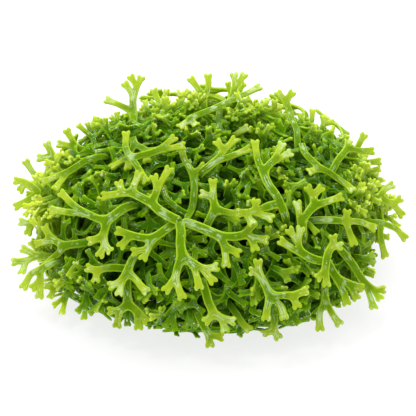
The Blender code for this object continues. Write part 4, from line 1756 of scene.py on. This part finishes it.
@dataclass(frozen=True)
class PlantColour(Effect):
    """Colours a ribbon: green midline, lime margin, yellow tip, painted shade that darkens it with depth,
    and painted backlight that turns it pale at the sides and back.

    Each range is (from, to) of the value that its name gives. Lifts are in millimetres, and the other
    values are shares. The `play` values are how much a noise shifts an edge. The margin is partly the
    ribbon's own lime edge and partly painted light shining through the thin edge. `Height` is the light
    that the painted shade leaves: 1 on the clump's surface, falling to 0 in its depth. `Through` is a
    painted glow, put out as emission, for the light that comes through a ribbon where it is painted
    pale.
    """

    name: str = "plant_colour"
    colours_in: tuple[str, ...] = (
        "Centre", "Margin", "Tip", "Deep", "Pale", "Pale Margin", "Pale Deep", "Through",
    )
    values_in: tuple[str, ...] = (
        "Margin Width", "Tip Share", "Pale Share", "Bare Share", "Dark Lift", "Light Lift",
    )
    colours_out: tuple[str, ...] = ("Colour", "Through")
    values_out: tuple[str, ...] = ("Height",)
    blotch_scale: float = 420.0
    blotch_detail: float = 3.0
    mottle_scale: float = 2600.0
    blotch_play: float = 0.5
    vary_play: float = 0.4
    mottle_play: float = 0.6
    tip_range: Pair = (0.05, 1.05)
    rim_range: Pair = (0.0, 1.2)
    painted_depth_light_range: Pair = (-2.4, 0.0)
    painted_depth_light_ends: Pair = (0.3, 1.0)
    bare_range: Pair = (0.3, 2.9)
    bare_side: float = 2.0
    pale_tip_range: Pair = (-0.4, 0.9)
    pale_tip_ends: Pair = (0.4, 1.0)
    raised_side: float = 1.1

    def build(self) -> NodeTree:
        """Make the group.

        Returns:
            The group.
        """
        kit, given, target = self.start()
        where = kit.where()
        lift = kit.mark(Mark.LIFT)
        side = kit.mark(Mark.PALE)
        tip = kit.times(kit.math("MAXIMUM", kit.mark(Mark.TIP), 0.0), given["Tip Share"])
        blotch = kit.play(kit.noise(where, self.blotch_scale, self.blotch_detail), self.blotch_play)
        tip = kit.plus(tip, blotch, kit.play(kit.mark(Mark.VARY), self.vary_play))
        # Painted shade: the tip and margin colours fade with depth.
        painted_depth_light = kit.ramp(lift, *self.painted_depth_light_range, self.painted_depth_light_ends)
        tip = kit.times(kit.ramp(tip, *self.tip_range), painted_depth_light)
        body = kit.mix(tip, given["Centre"], given["Tip"])
        inner = kit.math("SUBTRACT", 1.0, given["Margin Width"])
        rim = kit.math("SUBTRACT", kit.mark(Mark.ACROSS), inner)
        rim = kit.math("DIVIDE", rim, given["Margin Width"])
        mottle = kit.play(kit.noise(where, self.mottle_scale), self.mottle_play)
        rim = kit.ramp(kit.plus(rim, mottle), *self.rim_range)
        # Painted backlight: pale at the sides and back, and where a ribbon stands out of the clump,
        # mostly near its tips.
        bare = kit.ramp(kit.plus(lift, kit.times(side, self.bare_side)), *self.bare_range)
        pale = kit.plus(kit.times(side, given["Pale Share"]), kit.times(bare, given["Bare Share"]))
        pale = kit.times(pale, kit.ramp(kit.mark(Mark.TIP), *self.pale_tip_range, self.pale_tip_ends))
        painted_pale_body = kit.mix(pale, body, given["Pale"])
        margin = kit.mix(pale, given["Margin"], given["Pale Margin"])
        # Margin: the ribbon's own lime edge with painted light through the thin edge, dimmed by the
        # painted shade of depth.
        rimmed = kit.mix(kit.times(rim, painted_depth_light), painted_pale_body, margin)
        # Painted shade: the colour darkens towards the deep colour with depth, less so where it is
        # painted pale.
        raised = kit.plus(lift, kit.times(side, self.raised_side))
        painted_lit = kit.ramp(raised, given["Dark Lift"], given["Light Lift"])
        deep = kit.mix(side, given["Deep"], given["Pale Deep"])
        # Painted glow: light through the ribbons where they are painted pale, put out as emission.
        through = kit.mix(side, BLACK, given["Through"])
        kit.feed(target, Colour=kit.mix(painted_lit, deep, rimmed), Height=painted_lit, Through=through)
        return kit.tree


@dataclass(frozen=True)
class RibbonStreaks(Effect):
    """Draws lengthwise ridges on a ribbon, the painted highlights of pale wet streaks and glints on them,
    and the film.

    Scales are of noises in metres. Ranges and plays are as in the colour's group. The dashes are the
    same lines drawn shorter and narrower, from another place in the noise.
    """

    name: str = "ribbon_streaks"
    colours_in: tuple[str, ...] = ()
    values_in: tuple[str, ...] = ("Line Count", "Line Breaks", "Ripple Scale")
    colours_out: tuple[str, ...] = ()
    values_out: tuple[str, ...] = ("Streak", "Glint", "Wet", "Height")
    wander_scale: float = 900.0
    wander_play: float = 1.1
    vary_step: float = 40.0
    ridge_range: Pair = (0.35, 0.65)
    ridge_height: float = 0.45
    ridge_shine: float = 0.8
    flat_shine: float = 0.2
    patch_scale: float = 480.0
    patch_play: float = 0.5
    patch_range: Pair = (0.54, 0.66)
    inner_play: float = 0.8
    inner_range: Pair = (0.95, 0.55)
    dash_scale: Triple = (1.5, 2.6, 1.0)
    dash_place: Triple = (7.3, 3.1, 11.0)
    dash_detail: float = 1.0
    dash_range: Pair = (0.62, 0.72)
    wet_scale: float = 1100.0
    wet_range: Pair = (0.48, 0.60)
    ripple_height: float = 0.8

    def build(self) -> NodeTree:
        """Make the group.

        Returns:
            The group.
        """
        kit, given, target = self.start()
        where = kit.where()
        across = kit.mark(Mark.ACROSS)
        wander = kit.play(kit.noise(where, self.wander_scale), self.wander_play)
        grain = kit.add("CombineXYZ")
        kit.feed(
            grain, X=kit.times(kit.plus(across, wander), given["Line Count"]),
            Y=kit.times(kit.mark(Mark.TIP), given["Line Breaks"]),
            Z=kit.times(kit.mark(Mark.VARY), self.vary_step),
        )
        lines = kit.noise(grain.outputs["Vector"], 1.0)
        ridge = kit.ramp(lines, *self.ridge_range)
        patches = kit.plus(kit.noise(where, self.patch_scale), kit.play(lines, self.patch_play))
        patches = kit.ramp(patches, *self.patch_range)
        inner = kit.ramp(kit.plus(across, kit.play(lines, self.inner_play)), *self.inner_range)
        painted_shine = kit.plus(kit.times(ridge, self.ridge_shine), self.flat_shine)
        dashes = kit.add("VectorMath", operation="MULTIPLY_ADD")
        kit.tree.links.new(grain.outputs["Vector"], dashes.inputs[0])
        dashes.inputs[1].default_value = self.dash_scale
        dashes.inputs[2].default_value = self.dash_place
        sparks = kit.noise(dashes.outputs[0], 1.0, self.dash_detail)
        wet = kit.ramp(kit.noise(where, self.wet_scale), *self.wet_range)
        ripples = kit.times(kit.noise(where, given["Ripple Scale"]), self.ripple_height)
        # Streak and Glint are painted highlights; Wet sets the roughness and masks the glints, Height the
        # bump.
        kit.feed(
            target, Streak=kit.times(painted_shine, patches, inner), Wet=wet,
            Glint=kit.times(kit.ramp(sparks, *self.dash_range), wet),
            Height=kit.plus(kit.times(ridge, self.ridge_height), ripples),
        )
        return kit.tree


@dataclass(frozen=True)
class PlantFinish:
    """The finish of living ribbon tissue, wet all over.

    The colours from `centre` to `pale_deep` and `through`, the shares, the lifts, `margin_width` and
    the values from `line_count` to `ripple_scale` go to the groups' inputs of the same names. The
    streak and glint shares are how much the two kinds of painted highlights cover, and `glow` is how
    much light passes under the skin. `deep` and `pale_deep` are painted shade, `pale` and
    `pale_margin` painted backlight, `margin` partly painted light through the thin edge, `through` a
    painted glow, and the sheen and glint colours painted highlights.
    """

    name: str
    centre: Colour
    # The margin is partly painted light through the thin edge; deep and pale_deep are painted shade, pale
    # and pale_margin painted backlight.
    margin: Colour
    tip: Colour
    deep: Colour
    pale: Colour
    pale_margin: Colour
    pale_deep: Colour
    tip_share: float
    pale_share: float
    bare_share: float
    dark_lift: float
    light_lift: float
    bump: float
    # Shares of the painted highlights: the sheen streaks and the glints.
    painted_streak: float
    painted_glint: float
    glow: float
    # Painted glow: light through the pale ribbons, put out as emission.
    through: Colour = (0.044, 0.062, 0.000, 1.0)
    margin_width: float = 0.46
    line_count: float = 2.8
    line_breaks: float = 2.4
    ripple_scale: float = 1700.0
    ripple_height: float = 0.07 * MM
    roughness: Pair = (0.32, 0.6)
    coat: Pair = (0.0, 0.15)
    coat_glint: float = 0.5
    coat_roughness: float = 0.12
    glow_depth: float = 0.6 * MM
    glow_reach: Triple = (0.8, 1.0, 0.08)
    specular: float = 0.03
    # Painted highlights: colours painted into the base colour for the sheen streaks and the glints.
    painted_sheen_colour: Colour = (0.62, 0.76, 0.44, 1.0)
    painted_glint_colour: Colour = (0.90, 0.96, 0.80, 1.0)

    def build(self, colour: NodeTree, streaks: NodeTree) -> Material:
        """Make the material.

        Args:
            colour: The group that colours a ribbon.
            streaks: The group of streaks, glints and ripples.

        Returns:
            The material.
        """
        material = bpy.data.materials.new(self.name)
        material.cycles.emission_sampling = "NONE"
        kit = NodeKit.of_new(material)
        paint = PlantColour().place(kit, colour, self)
        film = RibbonStreaks().place(kit, streaks, self)
        # The painted shade's light share fades the painted highlights and the coat in the clump's depth.
        open_sky = paint["Height"]
        painted_streak = kit.times(film["Streak"], self.painted_streak, open_sky)
        painted_glint = kit.times(film["Glint"], self.painted_glint, open_sky)
        # Painted highlights: the sheen streaks, then the glints, are painted into the base colour.
        painted_sheen_base = kit.mix(painted_streak, paint["Colour"], self.painted_sheen_colour)
        bump = kit.add("Bump")
        kit.feed(bump, Strength=self.bump, Distance=self.ripple_height, Height=film["Height"])
        kit.feed(
            kit.tree.nodes["Principled BSDF"],
            Base_Color=kit.mix(painted_glint, painted_sheen_base, self.painted_glint_colour),
            # Painted glow: light through the pale ribbons, put out as emission.
            Emission_Color=paint["Through"],
            Emission_Strength=1.0,
            Roughness=kit.ramp(film["Wet"], 0.0, 1.0, self.roughness[::-1]),
            Coat_Weight=kit.times(kit.ramp(painted_glint, 0.0, self.coat_glint, self.coat), open_sky),
            Coat_Roughness=self.coat_roughness,
            Specular_IOR_Level=self.specular,
            Subsurface_Weight=self.glow,
            Subsurface_Radius=self.glow_reach,
            Subsurface_Scale=self.glow_depth,
            Normal=bump.outputs["Normal"],
        )
        return material


LARGE_FINISH = PlantFinish(
    name="large_thallus_skin",
    centre=(0.118, 0.250, 0.001, 1.0),
    # Margin: partly the ribbon's own lime edge, partly painted light through the thin edge.
    margin=(0.36, 0.53, 0.026, 1.0),
    tip=(0.35, 0.470, 0.022, 1.0),
    # Painted shade of depth, painted backlight (pale, pale_margin) and painted shade where painted pale
    # (pale_deep).
    deep=(0.030, 0.12, 0.000, 1.0),
    pale=(0.42, 0.55, 0.045, 1.0),
    pale_margin=(0.60, 0.70, 0.130, 1.0),
    pale_deep=(0.120, 0.270, 0.002, 1.0),
    tip_share=1.0,
    pale_share=0.5,
    bare_share=0.0,
    dark_lift=-2.4,
    light_lift=1.4,
    bump=0.7,
    # Shares of the painted highlights.
    painted_streak=0.55,
    painted_glint=0.42,
    glow=0.6,
)
PACKED_FINISH = PlantFinish(
    name="packed_thallus_skin",
    centre=(0.048, 0.160, 0.000, 1.0),
    # Margin: partly the ribbon's own lime edge, partly painted light through the thin edge.
    margin=(0.20, 0.40, 0.002, 1.0),
    tip=(0.160, 0.315, 0.001, 1.0),
    # Painted shade of depth, painted backlight (pale, pale_margin) and painted shade where painted pale
    # (pale_deep).
    deep=(0.024, 0.105, 0.000, 1.0),
    pale=(0.46, 0.575, 0.035, 1.0),
    pale_margin=(0.60, 0.700, 0.100, 1.0),
    pale_deep=(0.130, 0.310, 0.001, 1.0),
    tip_share=0.8,
    pale_share=0.25,
    bare_share=0.8,
    dark_lift=-3.4,
    light_lift=-0.3,
    bump=1.0,
    # Shares of the painted highlights.
    painted_streak=0.26,
    painted_glint=0.95,
    glow=0.75,
    specular=0.05,
    # Painted sheen colour of the highlight streaks.
    painted_sheen_colour=(0.44, 0.68, 0.16, 1.0),
)


@dataclass(frozen=True)
class CoreFinish:
    """The finish of the dark middle, which is painted shade for the inside of the clump."""

    # Painted shade: both greens are dark, for the shade inside the clump.
    dark: Colour = (0.018, 0.065, 0.000, 1.0)
    light: Colour = (0.042, 0.130, 0.001, 1.0)
    patch_scale: float = 900.0
    patch_detail: float = 4.0
    patch_range: Pair = (0.4, 0.65)
    rough_range: Pair = (0.3, 0.7)
    roughness: Pair = (0.5, 0.8)
    specular: float = 0.1
    lump_height: float = 0.3 * MM

    def build(self) -> Material:
        """Make the material.

        Returns:
            The material.
        """
        material = bpy.data.materials.new("matted_middle")
        kit = NodeKit.of_new(material)
        patches = kit.noise(kit.where(), self.patch_scale, self.patch_detail)
        bump = kit.add("Bump")
        kit.feed(bump, Distance=self.lump_height, Height=patches)
        kit.feed(
            kit.tree.nodes["Principled BSDF"],
            Base_Color=kit.mix(kit.ramp(patches, *self.patch_range), self.dark, self.light),
            Roughness=kit.ramp(patches, *self.rough_range, self.roughness),
            Specular_IOR_Level=self.specular,
            Normal=bump.outputs["Normal"],
        )
        return material


def add_object(name: str, data: ID) -> Object:
    """Put a new object of this data into the scene."""
    made = bpy.data.objects.new(name, data)
    bpy.context.scene.collection.objects.link(made)
    return made


@dataclass(frozen=True)
class SoftLight:
    """A square light that looks at the clump: its place, the length of its side, its power in watts."""

    name: str
    place: Triple
    side: float
    power: float


@dataclass
class Studio:
    """The pale floor, the soft light and the camera."""

    sight: Sight
    floor_half_size: float = 1.2
    floor_colour: Colour = (0.22, 0.22, 0.22, 1.0)
    floor_roughness: float = 0.9
    floor_specular: float = 0.1
    floor_glow: float = 0.77
    sky: float = 0.57
    sensor: float = 36.0
    clip: Pair = (0.01, 10.0)
    lights: tuple[SoftLight, ...] = (
        SoftLight("soft_overhead", (-0.02, 0.0, 0.45), 0.5, 1.7),
        SoftLight("soft_front", (0.0, -0.40, 0.12), 0.35, 0.35),
        SoftLight("soft_behind", (0.0, 0.36, 0.20), 0.35, 1.3),
        SoftLight("small_key", (-0.12, -0.06, 0.36), 0.05, 0.25),
    )

    def lay_floor(self) -> None:
        """Make the pale floor that the clump stands on."""
        mesh = bpy.data.meshes.new("studio_floor")
        half = self.floor_half_size
        corners = [(-half, -half, 0.0), (half, -half, 0.0), (half, half, 0.0), (-half, half, 0.0)]
        mesh.from_pydata(corners, [], [(0, 1, 2, 3)])
        material = bpy.data.materials.new("pale_floor")
        kit = NodeKit.of_new(material)
        kit.feed(
            kit.tree.nodes["Principled BSDF"],
            Base_Color=self.floor_colour,
            Roughness=self.floor_roughness,
            Specular_IOR_Level=self.floor_specular,
            Emission_Color=WHITE,
            Emission_Strength=self.floor_glow,
        )
        mesh.materials.append(material)
        floor = add_object("studio_floor", mesh)

    def light(self) -> None:
        """Hang the lights, and let the world light the clump less than it shows."""
        for light in self.lights:
            data = bpy.data.lights.new(light.name, "AREA")
            data.size = light.side
            data.energy = light.power
            lamp = add_object(light.name, data)
            lamp.location = light.place
            aim = self.sight.target - lamp.location
            lamp.rotation_euler = aim.to_track_quat("-Z", "Y").to_euler()
        world = bpy.data.worlds.new("pale_surroundings")
        kit = NodeKit.of_new(world)
        strength = kit.add("MapRange")
        seen = kit.add("LightPath").outputs["Is Camera Ray"]
        kit.feed(strength, Value=seen, To_Min=self.sky)
        kit.feed(kit.tree.nodes["Background"], Color=WHITE, Strength=strength.outputs["Result"])
        bpy.context.scene.world = world
        bpy.context.scene.view_settings.view_transform = "Standard"

    def aim_camera(self) -> None:
        """Set up the camera at the photograph's own view."""
        sight = self.sight
        data = bpy.data.cameras.new("view_camera")
        data.sensor_width = self.sensor
        data.lens = self.sensor * sight.focal / FRAME_PIXELS
        data.shift_x = (FRAME_PIXELS / 2.0 - sight.centre[0]) / FRAME_PIXELS
        data.shift_y = (sight.centre[1] - FRAME_PIXELS / 2.0) / FRAME_PIXELS
        data.clip_start, data.clip_end = self.clip
        camera = add_object("view_camera", data)
        camera.location = sight.eye
        camera.rotation_euler = (-sight.back).to_track_quat("-Z", "Y").to_euler()
        bpy.context.scene.camera = camera

    def build(self) -> None:
        """Set up the floor, the light, the world and the camera."""
        self.lay_floor()
        self.light()
        self.aim_camera()


@dataclass
class Clump:
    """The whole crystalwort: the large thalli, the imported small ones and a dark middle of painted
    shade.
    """

    sight: Sight
    cushion: Cushion
    size: StrapSize = field(default_factory=StrapSize)
    fine_storey: int = 3
    root_depth: float = 1.6 * MM

    def large_roots(self) -> Iterator[tuple[str, int, Joint, Vector | None]]:
        """Go through the large thalli, traced ones first.

        Yields:
            A thallus's node name, storey, root joint and meeting point, if any.
        """
        tracer = Tracer(self.sight, self.cushion)
        storey_height = self.cushion.storey_height
        for name, (storey, tree) in TRACED.items():
            root = tracer.joint(tree, storey * storey_height)
            meeting = None
            if name in MEETING:
                across, down, level = MEETING[name]
                meeting = tracer.place(across, down, level * storey_height, root.place)
            yield name, storey, root, meeting
        for name, root in RearGrowth(self.cushion).thalli():
            yield name, 0, root, None

    def piece(
        self, name: str, mesh: Mesh, material: Material, node: str,
        rounding: int = 0,
    ) -> Object:
        """Make an object of a mesh, ride it on the clump and let it stand for a node.

        Args:
            name: The object's name.
            mesh: Its mesh.
            material: Its finish.
            node: The node that it stands for.
            rounding: How far it is rounded by subdivision.

        Returns:
            The object.
        """
        mesh.materials.append(material)
        made = add_object(name, mesh)
        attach(made, "root")
        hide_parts(node)
        if rounding:
            subdivision = made.modifiers.new("rounding", "SUBSURF")
            subdivision.levels = rounding
            subdivision.render_levels = rounding
        log.info("%s: %d faces", name, len(mesh.polygons))
        return made

    def build_large(self, skin: Material) -> BVHTree:
        """Build the large thalli, each in place of its own node.

        Args:
            skin: Their finish.

        Returns:
            Their surfaces, for the small thalli to keep clear of.
        """
        joined = bmesh.new()
        for index, (name, storey, root, meeting) in enumerate(self.large_roots()):
            thallus = Thallus(self.size, random.Random(index), LobeEnd.ROUND_KNOBS)
            dive = max(self.cushion.lift_of(root.place), 0.0) + self.root_depth
            thallus.grow(root, dive, meeting)
            strap = StrapMesh()
            thallus.add_to(strap, self.cushion)
            mesh = strap.make(name)
            rounding = 2 if storey >= self.fine_storey else 1
            shown = name.replace("thallus", "ribbon")
            self.piece(shown, mesh, skin, name, rounding)
            joined.from_mesh(mesh)
        large = BVHTree.FromBMesh(joined)
        joined.free()
        return large

    def build_packed(self, skin: Material, large: BVHTree) -> None:
        """Build the small thalli and the dark middle of painted shade, all in place of the tangle.

        Args:
            skin: The small thalli's finish.
            large: The large thalli's surfaces.
        """
        tracer = Tracer(self.sight, self.cushion)
        traced = [
            tracer.joint(tree, storey * self.cushion.storey_height) for storey, tree in TRACED_SMALL
        ]
        packed = PackedThalli(self.sight, self.cushion, large)
        for (layer, rounding), strap in packed.build(traced).items():
            name = f"packed_thalli_{layer}"
            self.piece(name, strap.make(name), skin, "tangle", rounding)
        # A dark mound of painted shade for the clump's inside.
        core = Core(self.cushion).build()
        self.piece("packed_core", core, CoreFinish().build(), "tangle")

    def build(self) -> None:
        """Build every piece of the clump."""
        colour = PlantColour().build()
        streaks = RibbonStreaks().build()
        large = self.build_large(LARGE_FINISH.build(colour, streaks))
        self.build_packed(PACKED_FINISH.build(colour, streaks), large)


def main() -> None:
    """Build the crystalwort and the studio round it."""
    logging.basicConfig(level=logging.INFO, format="%(message)s")
    sight = Sight()
    Studio(sight).build()
    Clump(sight, Cushion()).build()


if __name__ == "__main__":
    main()
